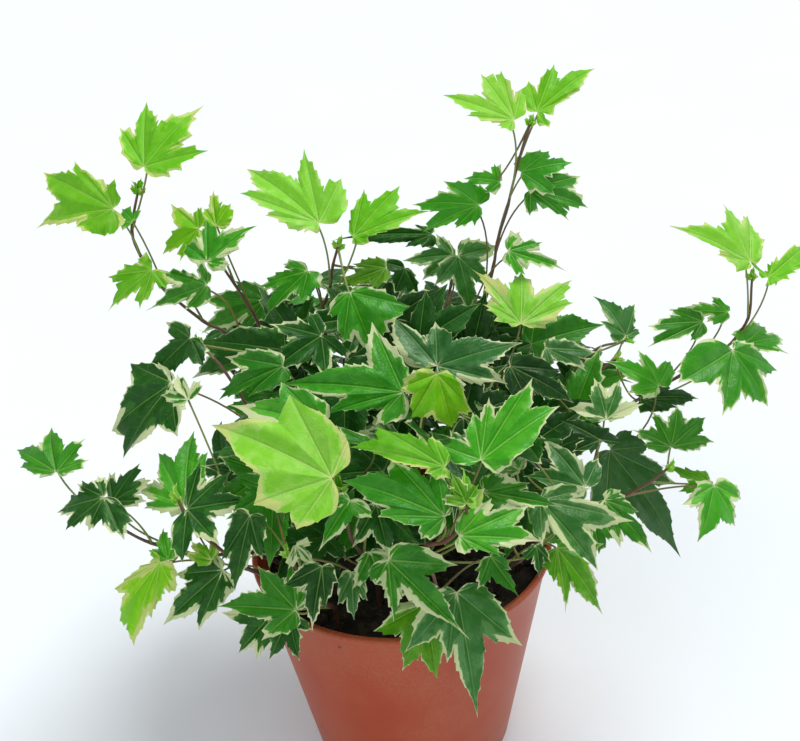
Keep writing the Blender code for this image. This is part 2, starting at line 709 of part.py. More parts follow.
def try_leaf(shape, stem, path, used, thicket, strict):
    # The blade and a stalk for it, if both are clear of everything placed so far.
    allowed = () if strict else ("blade", "stalk")
    if not thicket.clear(blade_mesh(shape, BLADE_THICKNESS + 2 * CLEARANCE, SWELL), stem, allowed):
        return None
    for index in stations(path, shape["seat"], used):
        for bend in BENDS:
            route = stalk_path(path[index], shape, bend)
            fat = tube_mesh(route, stalk_radii(route, CLEARANCE), STALK_SIDES)
            if thicket.clear(fat, stem, allowed + ("stem",)):
                return route, index
    return None


def place_leaf(row, stem, path, used, thicket, rng):
    # Slides a leaf along the line of sight from its own depth until it is clear.
    curves = shaped({}, rng)
    for strict in (True, False):
        for shift in SHIFTS:
            seat = seen(*row["seat"], row["y"]) + sight(*row["seat"]) * shift * SHIFT_STEP
            normal = facing(row, seat)
            tips = []
            for tip in row["tips"]:
                ray = sight(*tip)
                tips.append(EYE + ray * ((seat - EYE).dot(normal) / ray.dot(normal)))
            shape = blade_shape(seat, normal, tips)
            shape.update(curves)
            if row["cut"]:
                shape["cut"] = row["cut"]
            found = try_leaf(shape, stem, path, used, thicket, strict)
            if found:
                return shape, found
    return None


def in_view(point):
    # Where a point is seen.
    arm = point - EYE
    depth = arm.dot(FORWARD)
    return (FRAME_CENTRE[0] + VIEW_FOCAL * arm.dot(RIGHT) / depth,
            FRAME_CENTRE[1] - VIEW_FOCAL * arm.dot(UP) / depth)


def in_fill_outline(point):
    u, v = in_view(point)
    inside = False
    for (u1, v1), (u2, v2) in zip(FILL_OUTLINE, FILL_OUTLINE[1:] + FILL_OUTLINE[:1]):
        if (v1 > v) != (v2 > v) and u < u1 + (u2 - u1) * (v - v1) / (v2 - v1):
            inside = not inside
    return inside


def fill_shape(place, rng):
    # A plain five-lobed leaf near a place on a stem, which faces up and out of the bush.
    out = place - FILL_AXIS
    out.z = 0
    out = Matrix.Rotation(math.radians(rng.uniform(-FILL_SPREAD, FILL_SPREAD)), 3, "Z") @ out.normalized()
    away = (out + Vector((0, 0, rng.uniform(*FILL_SEAT_RISE)))).normalized()
    seat = place + away * rng.uniform(*FILL_REACH)
    forward = (out + Vector((0, 0, rng.uniform(*FILL_TIP_RISE)))).normalized()
    normal = out * FILL_FACE[0] + Vector((0, 0, FILL_FACE[1]))
    normal = (normal - forward * normal.dot(forward)).normalized()
    side = forward.cross(normal)
    length = rng.uniform(*FILL_LENGTH)
    tips = [seat + forward * length]
    for angle, reach in FILL_LOBES:
        arm = math.radians(angle + rng.uniform(-FILL_LOBE_TURN, FILL_LOBE_TURN))
        tips.append(seat + (side * math.sin(arm) + forward * math.cos(arm)) * length * reach)
    shape = blade_shape(seat, normal, tips)
    shape.update(shaped({}, rng))
    shape["plain"] = True
    hidden = all(in_fill_outline(point) for point in tips + [seat])
    low = min(point.z for point in tips) < FILL_FLOOR
    return shape if hidden and not low else None


def fill(plants, used, thicket, rng):
    names = list(plants)
    seats = [shape["seat"] for _, leaves in plants.values() for shape, _ in leaves]
    for _ in range(FILL_COUNT):
        best = None
        choices = 0
        for _ in range(FILL_DRAWS):
            name = rng.choice(names)
            path, leaves = plants[name]
            shape = fill_shape(path[rng.randrange(FILL_FIRST, len(path))], rng)
            if not shape:
                continue
            room = min((shape["seat"] - seat).length for seat in seats)
            if best and room <= best[0]:
                continue
            found = try_leaf(shape, name, path, used[name], thicket, True)
            if found:
                best = (room, name, shape, found)
                choices += 1
            if choices == FILL_CHOICES:
                break
        if best:
            room, name, shape, found = best
            keep_leaf((shape, found), name, plants[name][1], used[name], thicket)
            seats.append(shape["seat"])


def grow():
    # Every stem with its leaves, as {name: (path, [(shape, stalk route)])}.
    rng = random.Random(SEED)
    thicket = Thicket()
    paths = {}
    for plan in STEMS:
        paths[plan["name"]] = stem_path(plan["root"], [seen(*place) for place in plan["route"]])
    for name, (root, end) in BACK_STEMS.items():
        end = Vector(end)
        middle = (Vector((root[0], root[1], SOIL_TOP)) + end) * BACK_RISE + Vector((0, 0, BACK_LIFT))
        paths[name] = stem_path(root, [middle, end])
    thicket.add(pot_guard(), "pot", "pot")
    for name, path in paths.items():
        radii = [radius + CLEARANCE for radius in stem_radii(path)]
        mesh = tube_mesh(path[1:], radii[1:], STEM_SIDES)
        if not thicket.clear(mesh):
            raise ValueError("stems touch: " + name)
        thicket.add(tube_mesh(path, stem_radii(path), STEM_SIDES), name, "stem")
    plants = {name: (path, []) for name, path in paths.items()}
    used = {name: [] for name in plants}
    for plan in STEMS:
        name = plan["name"]
        path, leaves = plants[name]
        for row in plan["leaves"]:
            found = place_leaf(row, name, path, used[name], thicket, rng)
            if not found:
                raise ValueError("no room for a leaf of " + name)
            keep_leaf(found, name, leaves, used[name], thicket)
    fill(plants, used, thicket, rng)
    return plants


def keep_leaf(found, stem, leaves, used, thicket):
    shape, (route, index) = found
    used.append(index)
    leaves.append((shape, route))
    thicket.add(blade_mesh(shape, BLADE_THICKNESS, 1.0), stem, "blade")
    thicket.add(tube_mesh(route, stalk_radii(route), STALK_SIDES), stem, "stalk")


def pot_guard():
    # Plain cone frustum a little larger than the pot, which leaves stay out of.
    top = POT_HEIGHT + CLEARANCE
    return turned([(0, 0), (FOOT_RADIUS, 0), (RIM_RADIUS + GUARD_MARGIN, top)], POT_SIDES)


def material(name, color, roughness):
    made = bpy.data.materials.new(name)
    made.use_nodes = True
    shader = made.node_tree.nodes["Principled BSDF"]
    shader.inputs["Base Color"].default_value = color
    shader.inputs["Roughness"].default_value = roughness
    made.diffuse_color = color
    return made


def add_object(name, mesh, finish, collection=None):
    verts, faces = mesh
    data = bpy.data.meshes.new(name)
    data.from_pydata(verts, [], faces)
    data.materials.append(finish)
    made = bpy.data.objects.new(name, data)
    (collection or bpy.context.scene.collection).objects.link(made)
    return made


def apply_modifiers(made):
    graph = bpy.context.evaluated_depsgraph_get()
    data = bpy.data.meshes.new_from_object(made.evaluated_get(graph))
    made.modifiers.clear()
    made.data = data


def combine(made, collection, operation, solver):
    # One Boolean with a whole collection, applied, after which the collection's objects are removed.
    cut = made.modifiers.new("combine", "BOOLEAN")
    cut.operation = operation
    cut.operand_type = "COLLECTION"
    cut.collection = collection
    cut.solver = solver
    apply_modifiers(made)
    for used in list(collection.objects):
        bpy.data.objects.remove(used)
    bpy.data.collections.remove(collection)


def new_collection(name):
    collection = bpy.data.collections.new(name)
    bpy.context.scene.collection.children.link(collection)
    return collection


def make_stem(name, path, leaves, finish):
    made = add_object(name, tube_mesh(path, stem_radii(path), STEM_SIDES), finish)
    group = new_collection(name + "_leaves")
    for number, (shape, route) in enumerate(leaves):
        add_object(f"blade_{number}", blade_mesh(shape, BLADE_THICKNESS, 1.0), finish, group)
        add_object(f"stalk_{number}", tube_mesh(route, stalk_radii(route), STALK_SIDES), finish, group)
    combine(made, group, "UNION", "MANIFOLD")
    return made


def turned(profile, sides):
    # Surface turned from a profile, closed where the profile starts and ends on the axis.
    verts = []
    rings = []
    for radius, z in profile:
        if radius == 0:
            rings.append([len(verts)] * sides)
            verts.append(Vector((0, 0, z)))
            continue
        rings.append([len(verts) + side for side in range(sides)])
        for side in range(sides):
            turn = 2 * math.pi * side / sides
            verts.append(Vector((radius * math.cos(turn), radius * math.sin(turn), z)))
    faces = []
    for lower, upper in zip(rings, rings[1:]):
        for side in range(sides):
            after = (side + 1) % sides
            ring = (lower[side], lower[after], upper[after], upper[side])
            face = tuple(dict.fromkeys(ring))
            if len(face) > 2:
                faces.append(face)
    return verts, faces


def wall_radius(z):
    # Outer radius of the pot's tapered wall.
    return FOOT_RADIUS + (RIM_RADIUS - LIP_WIDTH - FOOT_RADIUS) * z / POT_HEIGHT


def make_pot(finish):
    inside = wall_radius(POT_HEIGHT) - WALL
    profile = [(0, 0), (FOOT_RADIUS - FOOT_CORNER, 0), (FOOT_RADIUS, FOOT_CORNER),
               (wall_radius(POT_HEIGHT - LIP_DEPTH), POT_HEIGHT - LIP_DEPTH),
               (RIM_RADIUS, POT_HEIGHT - LIP_DEPTH + LIP_SLOPE), (RIM_RADIUS, POT_HEIGHT - LIP_ROUND),
               (RIM_RADIUS - LIP_ROUND, POT_HEIGHT), (inside + LIP_INNER_ROUND, POT_HEIGHT),
               (inside, POT_HEIGHT - LIP_INNER_ROUND),
               (wall_radius(WALL) - WALL, WALL), (0, WALL)]
    pot = add_object("pot", turned(profile, POT_SIDES), finish)
    group = new_collection("drain_cutters")
    for number in range(DRAIN_COUNT):
        turn = 2 * math.pi * (number + 0.5) / DRAIN_COUNT
        centre = Vector((DRAIN_CIRCLE * math.cos(turn), DRAIN_CIRCLE * math.sin(turn), -CUTTER_OVERRUN))
        route = [centre, centre + Vector((0, 0, WALL + 2 * CUTTER_OVERRUN))]
        add_object(f"drain_{number}", tube_mesh(route, [DRAIN_RADIUS] * 2, DRAIN_SIDES), finish, group)
    combine(pot, group, "DIFFERENCE", "EXACT")
    return pot


def soil_height(x, y):
    # Lumpy soil, a little lower towards the wall.
    lump = noise.fractal(Vector((x, y, SOIL_TOP)) * SOIL_LUMP_RATE, *SOIL_NOISE) * SOIL_LUMP
    return SOIL_TOP + lump - SOIL_SAG * (math.hypot(x, y) / RIM_RADIUS) ** SOIL_SAG_POWER


def make_soil(finish, roots):
    floor = WALL + GAP
    foot = wall_radius(WALL) - WALL - GAP - SOIL_FOOT_INSET
    edge = wall_radius(SOIL_TOP) - WALL - GAP - SOIL_EDGE_INSET
    verts, faces = turned([(0, floor), (foot, floor), (edge, SOIL_TOP - SOIL_SAG)], SOIL_SIDES)
    ring = list(range(len(verts) - SOIL_SIDES, len(verts)))
    for step in range(1, SOIL_RINGS + 1):
        radius = edge * (1 - step / SOIL_RINGS)
        inner = []
        for side in range(SOIL_SIDES):
            turn = 2 * math.pi * side / SOIL_SIDES
            x = radius * math.cos(turn)
            y = radius * math.sin(turn)
            if step < SOIL_RINGS or side == 0:
                inner.append(len(verts))
                verts.append(Vector((x, y, soil_height(x, y))))
            else:
                inner.append(inner[0])
        for side in range(SOIL_SIDES):
            after = (side + 1) % SOIL_SIDES
            faces.append((ring[side], ring[after], inner[after]))
            if step < SOIL_RINGS:
                faces.append((ring[side], inner[after], inner[side]))
        ring = inner
    soil = add_object("soil", (verts, faces), finish)
    group = new_collection("root_cutters")
    for number, root in enumerate(roots):
        foot = Vector((root[0], root[1], SOIL_TOP - ROOT_DEPTH - GAP))
        route = [foot, foot + Vector((0, 0, ROOT_DEPTH + HOLE_OVERRUN))]
        radius = (STEM_RADIUS + GAP) / math.cos(math.pi / HOLE_SIDES)
        add_object(f"hole_{number}", tube_mesh(route, [radius] * 2, HOLE_SIDES), finish, group)
    combine(soil, group, "DIFFERENCE", "EXACT")
    return soil


def main():
    for old in list(bpy.data.objects):
        bpy.data.objects.remove(old)
    pot = make_pot(material(*POT_FINISH))
    pot.data.shade_smooth()
    pot.data.set_sharp_from_angle(angle=SMOOTH_ANGLE)
    plants = grow()
    make_soil(material(*SOIL_FINISH), [(path[0].x, path[0].y) for path, _ in plants.values()])
    green = material(*LEAF_FINISH)
    for name, (path, leaves) in plants.items():
        make_stem(name, path, leaves, green)


main()
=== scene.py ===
# Looks of the potted ivy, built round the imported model. Metres, +Z up, and -Y is the side that is seen.
import math
import random

import bmesh
import bpy
import numpy as np
from mathutils import Matrix, Vector, noise
from mathutils.bvhtree import BVHTree
from mathutils.geometry import delaunay_2d_cdt


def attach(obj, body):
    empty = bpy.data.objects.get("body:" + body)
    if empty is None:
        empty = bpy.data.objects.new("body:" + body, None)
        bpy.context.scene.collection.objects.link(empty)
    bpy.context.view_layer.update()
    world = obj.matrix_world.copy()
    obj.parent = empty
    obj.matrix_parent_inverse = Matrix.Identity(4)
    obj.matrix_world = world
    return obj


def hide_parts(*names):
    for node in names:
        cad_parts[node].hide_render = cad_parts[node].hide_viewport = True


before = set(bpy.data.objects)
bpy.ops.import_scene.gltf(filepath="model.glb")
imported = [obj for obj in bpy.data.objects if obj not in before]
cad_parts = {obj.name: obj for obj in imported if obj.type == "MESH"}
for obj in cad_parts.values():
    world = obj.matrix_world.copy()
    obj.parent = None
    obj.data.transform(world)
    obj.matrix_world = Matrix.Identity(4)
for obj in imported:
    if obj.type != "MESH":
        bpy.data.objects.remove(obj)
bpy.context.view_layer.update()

# Pot, soil and roots keep the sizes of the model.
pot = {"height": 0.097, "rim": 0.060, "foot": 0.041, "wall": 0.0015, "lipWidth": 0.0010,
       "drains": 4, "drainRadius": 0.004, "drainCircle": 0.025}
soil = {"top": 0.086, "sag": 0.004, "rootDepth": 0.022}

# View: the eye looks down at the middle of the rim, which lies at "aim" in the 800 by 741 frame.
view = {"elevation": 37.0, "roll": 4.2, "distance": 0.5, "focal": 1236.5, "aim": (388.8, 539.6),
        "centre": (400.0, 370.5), "sensor": 36.0, "width": 800, "near": 0.01}


def linked(name, data):  # an object for the data, in the scene
    made = bpy.data.objects.new(name, data)
    bpy.context.scene.collection.objects.link(made)
    return made


def viewAxes():
    back = Vector((0, -math.cos(math.radians(view["elevation"])), math.sin(math.radians(view["elevation"]))))
    spot = Vector((0, 0, pot["height"])) + back * view["distance"]
    ahead = -back
    across = Vector((1, 0, 0))
    above = across.cross(ahead)
    yaw = Matrix.Rotation(math.atan2(view["aim"][0] - view["centre"][0], view["focal"]), 3, above)
    ahead = yaw @ ahead
    across = yaw @ across
    pitch = Matrix.Rotation(math.atan2(view["aim"][1] - view["centre"][1], view["focal"]), 3, across)
    ahead = pitch @ ahead
    above = pitch @ above
    roll = Matrix.Rotation(math.radians(view["roll"]), 3, ahead)
    return spot, ahead, roll @ across, roll @ above


eye, ahead, across, above = viewAxes()


def sight(u, v):  # direction in which a place of the frame is seen
    right, down = u - view["centre"][0], v - view["centre"][1]
    return (ahead * view["focal"] + across * right - above * down).normalized()


def seen(u, v, y):  # point seen at (u, v) whose depth is y
    ray = sight(u, v)
    return eye + ray * ((y - eye.y) / ray.y)


def inView(point):  # where a point is seen
    arm = point - eye
    depth = arm.dot(ahead)
    return (view["centre"][0] + view["focal"] * arm.dot(across) / depth,
            view["centre"][1] - view["focal"] * arm.dot(above) / depth)


def makeCamera():
    lens = bpy.data.cameras.new("camera")
    lens.sensor_width = view["sensor"]
    lens.lens = view["focal"] / view["width"] * view["sensor"]
    lens.clip_start = view["near"]
    camera = linked("camera", lens)
    pose = Matrix((across, above, -ahead)).transposed().to_4x4()
    pose.translation = eye
    camera.matrix_world = pose
    bpy.context.scene.camera = camera


makeCamera()
print("camera placed")

# Each stem that can be told apart has the place of its foot in the soil, its route as seen with the depth of
# each point, and one row per leaf: its seat as seen, the seat's depth, its lobes' tips as seen, main lobe
# first, its look, the share of cream in it, and how deep its notches are where that isn't left to chance.
stems = []


def leaf(seat, y, tips, look, cream, cut=None):
    return {"seat": seat, "y": y, "tips": tips, "look": look, "cream": cream, "cut": cut}


def addStem(name, root, route, leaves):
    stems.append({"node": "stem_" + name, "root": root, "route": route, "leaves": leaves})


addStem("tall_shoot", (0.016, 0.022),
        [(488, 290, 0.044), (497, 243, 0.05), (508, 205, 0.053), (519, 160, 0.055), (530, 124, 0.056)], [
    leaf((514, 120), 0.052, [(442, 97), (480, 77), (500, 77), (521, 92), (465, 121), (497, 127)], "glow", 0.25),
    leaf((537, 112), 0.056, [(597, 66), (553, 66), (527, 84), (570, 101), (548, 117)], "bright", 0.2),
    leaf((521, 172), 0.054, [(575, 160), (550, 150)], "mid", 0.15),
    leaf((530, 190), 0.05, [(590, 207), (581, 176), (569, 222), (532, 214)], "green", 0.2),
    leaf((479, 205), 0.05, [(411, 205), (443, 182), (422, 232), (455, 230), (490, 190)], "mid", 0.2),
    leaf((500, 182), 0.058, [(463, 179), (494, 165)], "mid", 0.15),
    leaf((508, 251), 0.034, [(569, 272), (556, 278), (526, 276), (519, 232), (545, 241)], "mid", 0.4),
    leaf((521, 324), 0.012, [(522, 268), (470, 267), (575, 278), (574, 303), (483, 303)], "glow", 0.7),
])
addStem("back_middle", (0.004, 0.03), [(440, 330, 0.05), (450, 290, 0.062), (452, 262, 0.066)], [
    leaf((453, 255), 0.058, [(402, 262), (436, 235), (422, 281)], "grey", 0.35),
    leaf((458, 256), 0.05, [(472, 318), (463, 240), (500, 246), (488, 287)], "grey", 0.4),
    leaf((432, 234), 0.072, [(330, 240), (415, 227), (434, 226), (405, 249), (436, 243)], "dark", 0.2),
    leaf((405, 268), 0.062, [(392, 300), (420, 302), (383, 262)], "dark", 0.1),
])
addStem("middle_shoot", (-0.01, 0.016),
        [(320, 345, 0.028), (323, 310, 0.032), (330, 288, 0.034), (333, 265, 0.035), (338, 247, 0.036)], [
    leaf((319, 223), 0.03, [(246, 168), (308, 158), (343, 183), (244, 203), (268, 222), (316, 231), (327, 214)],
         "glow", 0.25),
    leaf((353, 237), 0.034, [(432, 210), (364, 190), (400, 187), (349, 228), (372, 238), (355, 245)],
         "bright", 0.15),
    leaf((386, 268), 0.032, [(338, 287), (352, 264), (370, 290)], "olive", 0.1),
    leaf((308, 271), 0.026, [(263, 318), (260, 287), (283, 264), (322, 277), (303, 302)], "mid", 0.3),
    leaf((350, 292), 0.012, [(374, 352), (410, 306), (343, 343), (327, 315)], "mid", 0.55, cut=0.12),
])
addStem("left_shoot", (-0.03, 0.012),
        [(240, 350, 0.018), (203, 321, 0.02), (165, 290, 0.02), (141, 257, 0.021),
         (132, 230, 0.023), (138, 192, 0.025)], [
    leaf((144, 167), 0.022, [(205, 105), (146, 100), (210, 153), (118, 125)], "bright", 0.3),
    leaf((113, 209), 0.02, [(33, 229), (46, 174), (83, 166), (80, 233), (118, 232), (107, 184)],
         "bright", 0.35),
    leaf((133, 221), 0.018, [(121, 208)], "fresh", 0.2),
    leaf((152, 270), 0.008, [(103, 312), (106, 277), (141, 310), (165, 288), (135, 258)], "bright", 0.2),
    leaf((207, 285), 0.012, [(143, 312), (160, 270), (196, 263), (188, 312)], "green", 0.3),
])
addStem("lime_shoot", (-0.02, 0.026), [(262, 330, 0.03), (235, 285, 0.034), (207, 245, 0.036)], [
    leaf((199, 229), 0.034, [(160, 254), (170, 203), (196, 206), (180, 262)], "lime", 0.5),
    leaf((216, 226), 0.038, [(213, 189), (232, 205), (229, 225), (205, 210)], "lime", 0.45),
    leaf((207, 262), 0.026, [(258, 226), (208, 222), (250, 243), (185, 244), (232, 269)], "mid", 0.6),
    leaf((266, 300), 0.016, [(201, 334), (203, 298), (235, 281), (243, 331)], "green", 0.3),
])
addStem("left_middle", (-0.038, 0.0), [(260, 430, -0.01), (225, 372, -0.006), (200, 345, 0.0)], [
    leaf((190, 338), -0.004, [(140, 393), (168, 322), (204, 367)], "dark", 0.15),
    leaf((172, 383), -0.014, [(110, 431), (122, 459), (178, 437)], "dark", 0.8, cut=0.15),
    leaf((285, 350), 0.004, [(190, 378), (200, 342), (240, 336), (245, 376)], "dark", 0.2),
    leaf((283, 366), -0.014, [(218, 400), (225, 357), (250, 398)], "green", 0.2),
])
addStem("left_trail", (-0.046, -0.01),
        [(250, 552, -0.026), (200, 556, -0.03), (152, 543, -0.031), (122, 529, -0.032), (92, 512, -0.03)], [
    leaf((56, 472), -0.03, [(50, 425), (10, 445), (87, 438), (18, 466), (87, 457), (49, 475), (63, 474)],
         "mid", 0.3),
    leaf((104, 497), -0.038, [(53, 512), (67, 531), (87, 531), (119, 539), (78, 484), (98, 476)], "dark", 0.45),
    leaf((112, 502), -0.03, [(152, 480), (140, 462), (147, 501), (109, 472)], "dark", 0.45),
    leaf((188, 400), -0.03, [(176, 372), (160, 395), (196, 432)], "green", 0.8),
])
addStem("left_front", (-0.04, -0.026),
        [(250, 570, -0.046), (215, 545, -0.048), (190, 525, -0.044), (178, 500, -0.036)], [
    leaf((185, 506), -0.03, [(193, 428), (160, 455), (134, 487), (143, 508), (208, 452), (178, 511)],
         "fresh", 0.65),
    leaf((187, 509), -0.044, [(256, 500), (234, 470), (202, 461), (222, 548), (181, 562)], "dark", 0.4),
    leaf((160, 562), -0.044, [(131, 648), (117, 622), (117, 588), (157, 617), (174, 592), (150, 560)],
         "lime", 0.9, cut=0.15),
    leaf((168, 560), -0.038, [(163, 527), (149, 551), (176, 537)], "fresh", 0.2),
    leaf((223, 570), -0.048, [(161, 626), (177, 574), (199, 631), (185, 600)], "dark", 0.7),
    leaf((212, 560), -0.052, [(190, 540), (184, 556)], "bright", 0.5),
])
addStem("front_left", (-0.026, -0.038), [(315, 600, -0.062), (300, 575, -0.066), (288, 555, -0.066)], [
    leaf((296, 610), -0.078, [(217, 607), (258, 566), (292, 563), (310, 577), (262, 641)], "green", 0.6),
    leaf((272, 614), -0.064, [(236, 655), (222, 612), (258, 660)], "dark", 0.7),
    leaf((289, 618), -0.066, [(300, 662), (268, 662)], "dark", 0.3),
    leaf((322, 566), -0.068, [(312, 633), (328, 606)], "deep", 0.2),
    leaf((352, 572), -0.062, [(354, 621), (368, 600), (338, 604)], "grey", 0.5),
    leaf((250, 515), -0.054, [(234, 592), (222, 560), (262, 560)], "dark", 0.2),
    leaf((296, 545), -0.066, [(316, 564), (288, 570)], "grey", 0.8),
])
addStem("bright_front", (-0.01, -0.026), [(352, 540, -0.052), (346, 510, -0.058), (340, 490, -0.06)], [
    leaf((332, 478), -0.072, [(210, 424), (294, 401), (347, 440), (257, 509), (297, 530)],
         "glow", 0.6, cut=0.1),
    leaf((322, 424), -0.046, [(229, 404), (284, 386), (262, 440)], "fresh", 0.8, cut=0.15),
    leaf((350, 500), -0.068, [(318, 552), (372, 518), (330, 500)], "mid", 0.5),
    leaf((376, 505), -0.062, [(390, 558), (352, 548), (420, 545)], "dark", 0.45),
])
addStem("middle", (0.006, -0.002), [(420, 450, -0.014), (424, 410, -0.016), (426, 380, -0.012)], [
    leaf((403, 392), -0.03, [(276, 385), (372, 322), (431, 362), (326, 418), (375, 425)], "mid", 0.6),
    leaf((437, 374), -0.026, [(452, 428), (401, 388), (411, 417), (472, 412)], "lime", 0.35, cut=0.12),
    leaf((437, 366), -0.004, [(523, 343), (506, 388), (465, 392), (435, 322), (394, 312), (417, 347)],
         "grey", 0.5),
    leaf((395, 440), -0.036, [(350, 432), (372, 416), (366, 446)], "grey", 0.8),
])
addStem("front_shoot", (0.008, -0.03),
        [(425, 548, -0.07), (446, 541, -0.078), (464, 524, -0.082), (467, 504, -0.082)], [
    leaf((481, 460), -0.072, [(532, 379), (560, 406), (487, 403), (472, 414), (441, 446), (543, 434)],
         "fresh", 0.35),
    leaf((445, 467), -0.078, [(347, 445), (377, 427), (432, 436), (449, 452), (425, 475), (450, 476)],
         "bright", 0.3, cut=0.12),
    leaf((445, 517), -0.086, [(342, 480), (379, 520), (421, 540), (438, 472), (392, 462),
                              (452, 500), (441, 531)],
         "mid", 0.6, cut=0.14),
    leaf((459, 536), -0.086, [(543, 541), (528, 506), (490, 500), (498, 559), (470, 553)], "fresh", 0.5),
    leaf((466, 504), -0.086, [(450, 470)], "olive", 0.1),
    leaf((520, 470), -0.056, [(500, 462), (486, 474), (524, 452)], "fresh", 0.9),
])
addStem("front_hang", (0.022, -0.038), [(440, 592, -0.062), (432, 572, -0.068), (415, 560, -0.072)], [
    leaf((388, 560), -0.08, [(470, 640), (393, 622), (377, 583), (458, 565)], "green", 0.45),
    leaf((457, 592), -0.07, [(478, 719), (521, 644), (404, 652), (445, 660)], "grey", 0.55),
    leaf((425, 604), -0.064, [(437, 679), (402, 671), (373, 631)], "olive", 0.4),
    leaf((490, 556), -0.068, [(519, 597), (478, 590), (512, 570)], "green", 0.2),
    leaf((536, 545), -0.056, [(540, 578), (550, 562)], "dark", 0.2),
    leaf((370, 552), -0.064, [(386, 590), (352, 590)], "green", 0.4),
])
addStem("right_front", (0.036, -0.022), [(520, 560, -0.04), (548, 530, -0.048), (566, 506, -0.048)], [
    leaf((483, 492), -0.068, [(563, 507), (528, 484), (516, 508)], "green", 0.6),
    leaf((540, 500), -0.066, [(597, 571), (632, 521), (584, 488), (538, 546)], "grey", 0.6),
    leaf((585, 487), -0.042, [(523, 476), (540, 434), (600, 455)], "grey", 0.65),
    leaf((557, 548), -0.05, [(606, 616), (564, 614), (552, 582)], "olive", 0.15),
    leaf((604, 500), -0.04, [(650, 553), (633, 512), (616, 548)], "green", 0.5),
    leaf((592, 520), -0.036, [(599, 555), (621, 537)], "green", 0.3),
])
addStem("right_trail", (0.046, -0.008),
        [(560, 528, -0.014), (622, 497, -0.018), (650, 482, -0.02), (668, 468, -0.02)], [
    leaf((714, 485), -0.02, [(700, 543), (741, 527), (682, 505), (746, 500)], "fresh", 0.5),
    leaf((708, 482), -0.012, [(660, 465), (678, 492), (690, 470), (710, 475)], "olive", 0.3),
    leaf((610, 450), -0.004, [(685, 558), (653, 541), (648, 446), (672, 484)], "shade", 0.15),
    leaf((671, 447), -0.006, [(677, 404), (717, 440), (707, 416), (633, 426), (650, 412),
                              (646, 441), (680, 449)],
         "green", 0.15),
])
addStem("right_middle", (0.036, 0.006), [(560, 500, -0.004), (590, 470, -0.006), (600, 440, -0.004)], [
    leaf((606, 419), -0.012, [(594, 377), (568, 409), (619, 382), (644, 404)], "grey", 0.6),
    leaf((545, 348), 0.006, [(588, 371), (598, 352), (550, 368)], "grey", 0.3),
    leaf((510, 366), -0.002, [(576, 402), (560, 372), (530, 412)], "deep", 0.1),
    leaf((659, 386), 0.012, [(604, 360), (638, 349), (673, 358), (626, 394)], "fresh", 0.4),
    leaf((600, 440), -0.02, [(560, 420), (572, 452), (628, 438)], "deep", 0.1),
])
addStem("right_back", (0.028, 0.016), [(540, 420, 0.02), (580, 385, 0.028), (615, 360, 0.034)], [
    leaf((626, 336), 0.04, [(593, 294), (636, 302), (599, 323), (640, 328)], "grey", 0.2),
    leaf((531, 344), 0.02, [(607, 323), (580, 321), (576, 343)], "green", 0.1),
    leaf((640, 398), 0.014, [(700, 399), (676, 410), (668, 386)], "deep", 0.1),
])
addStem("right_shoot", (0.032, 0.026),
        [(620, 410, 0.03), (680, 376, 0.032), (722, 351, 0.032), (748, 318, 0.03), (752, 278, 0.03)], [
    leaf((750, 262), 0.028, [(670, 222), (723, 203), (751, 209), (762, 230), (714, 257), (748, 270)],
         "glow", 0.35),
    leaf((768, 278), 0.03, [(814, 240), (793, 227), (808, 264), (774, 258), (771, 285), (764, 272)],
         "bright", 0.2, cut=0.15),
    leaf((728, 312), 0.03, [(667, 311), (711, 297), (704, 324), (729, 319), (731, 306)], "mid", 0.2),
    leaf((703, 322), 0.02, [(648, 325), (648, 347), (690, 341), (668, 309)], "green", 0.15),
    leaf((742, 345), 0.02, [(787, 338), (785, 358), (757, 358), (765, 327)], "mid", 0.3),
    leaf((733, 350), 0.01, [(767, 407), (777, 371), (719, 417), (683, 385), (716, 353)], "mid", 0.5),
])

# Stems at the back, which the view hides, with their fill leaves: (node, root, tip).
backStems = [
    ("stem_back_left", (-0.034, 0.026), (-0.085, 0.060, 0.160)),
    ("stem_back_far_left", (-0.024, 0.040), (-0.052, 0.100, 0.150)),
    ("stem_back_far", (0.000, 0.046), (0.004, 0.108, 0.160)),
    ("stem_back_far_right", (0.022, 0.042), (0.056, 0.098, 0.150)),
    ("stem_back_right", (0.044, 0.018), (0.100, 0.056, 0.150)),
]

# The rest of the growing repeats the model's own rules with the same seed, so that each leaf is where the
# model has it.
stem = {"radius": 0.0016, "endRadius": 0.0009, "sides": 5, "step": 0.018, "collarRise": 0.002,
        "riseShares": (0.12, 0.34), "backRise": 0.55, "backLift": 0.02, "fineStep": 0.0025, "firstSeat": 2}
stalk = {"radius": 0.00085, "tipRadius": 0.00038, "sides": 3, "steps": 2, "reach": 0.028, "sink": 0.0022,
         "arrival": (0.55, 0.65, 0.35), "arrivalShare": 0.42}
blade = {"thickness": 0.0009, "clearance": 0.0004, "swell": 1.03, "sideLobe": (54, 0.62),
         "baseLobe": (97, 0.19), "baseTurn": 34, "lobedBeyond": 80, "mainGap": 12, "lastAngle": 150,
         "spacing": 15, "reachLimit": 1.15, "cornerTurn": 24, "cornerShare": 0.62, "fullSpread": 46,
         "notchLean": 0.12, "edgeLimit": 168, "shoulderTurn": 0.60, "shoulderShares": (0.33, 0.69),
         "midrib": (0.28, 0.62), "plainMidrib": (0.36,), "arch": (0.04, 0.11), "droop": (0.06, 0.26),
         "fold": (-0.06, 0.12), "cut": (0.28, 0.40)}
facingRule = {"elevation": 50, "hanging": 26, "rising": 12, "sideTurn": 308, "lobeTurn": 14}
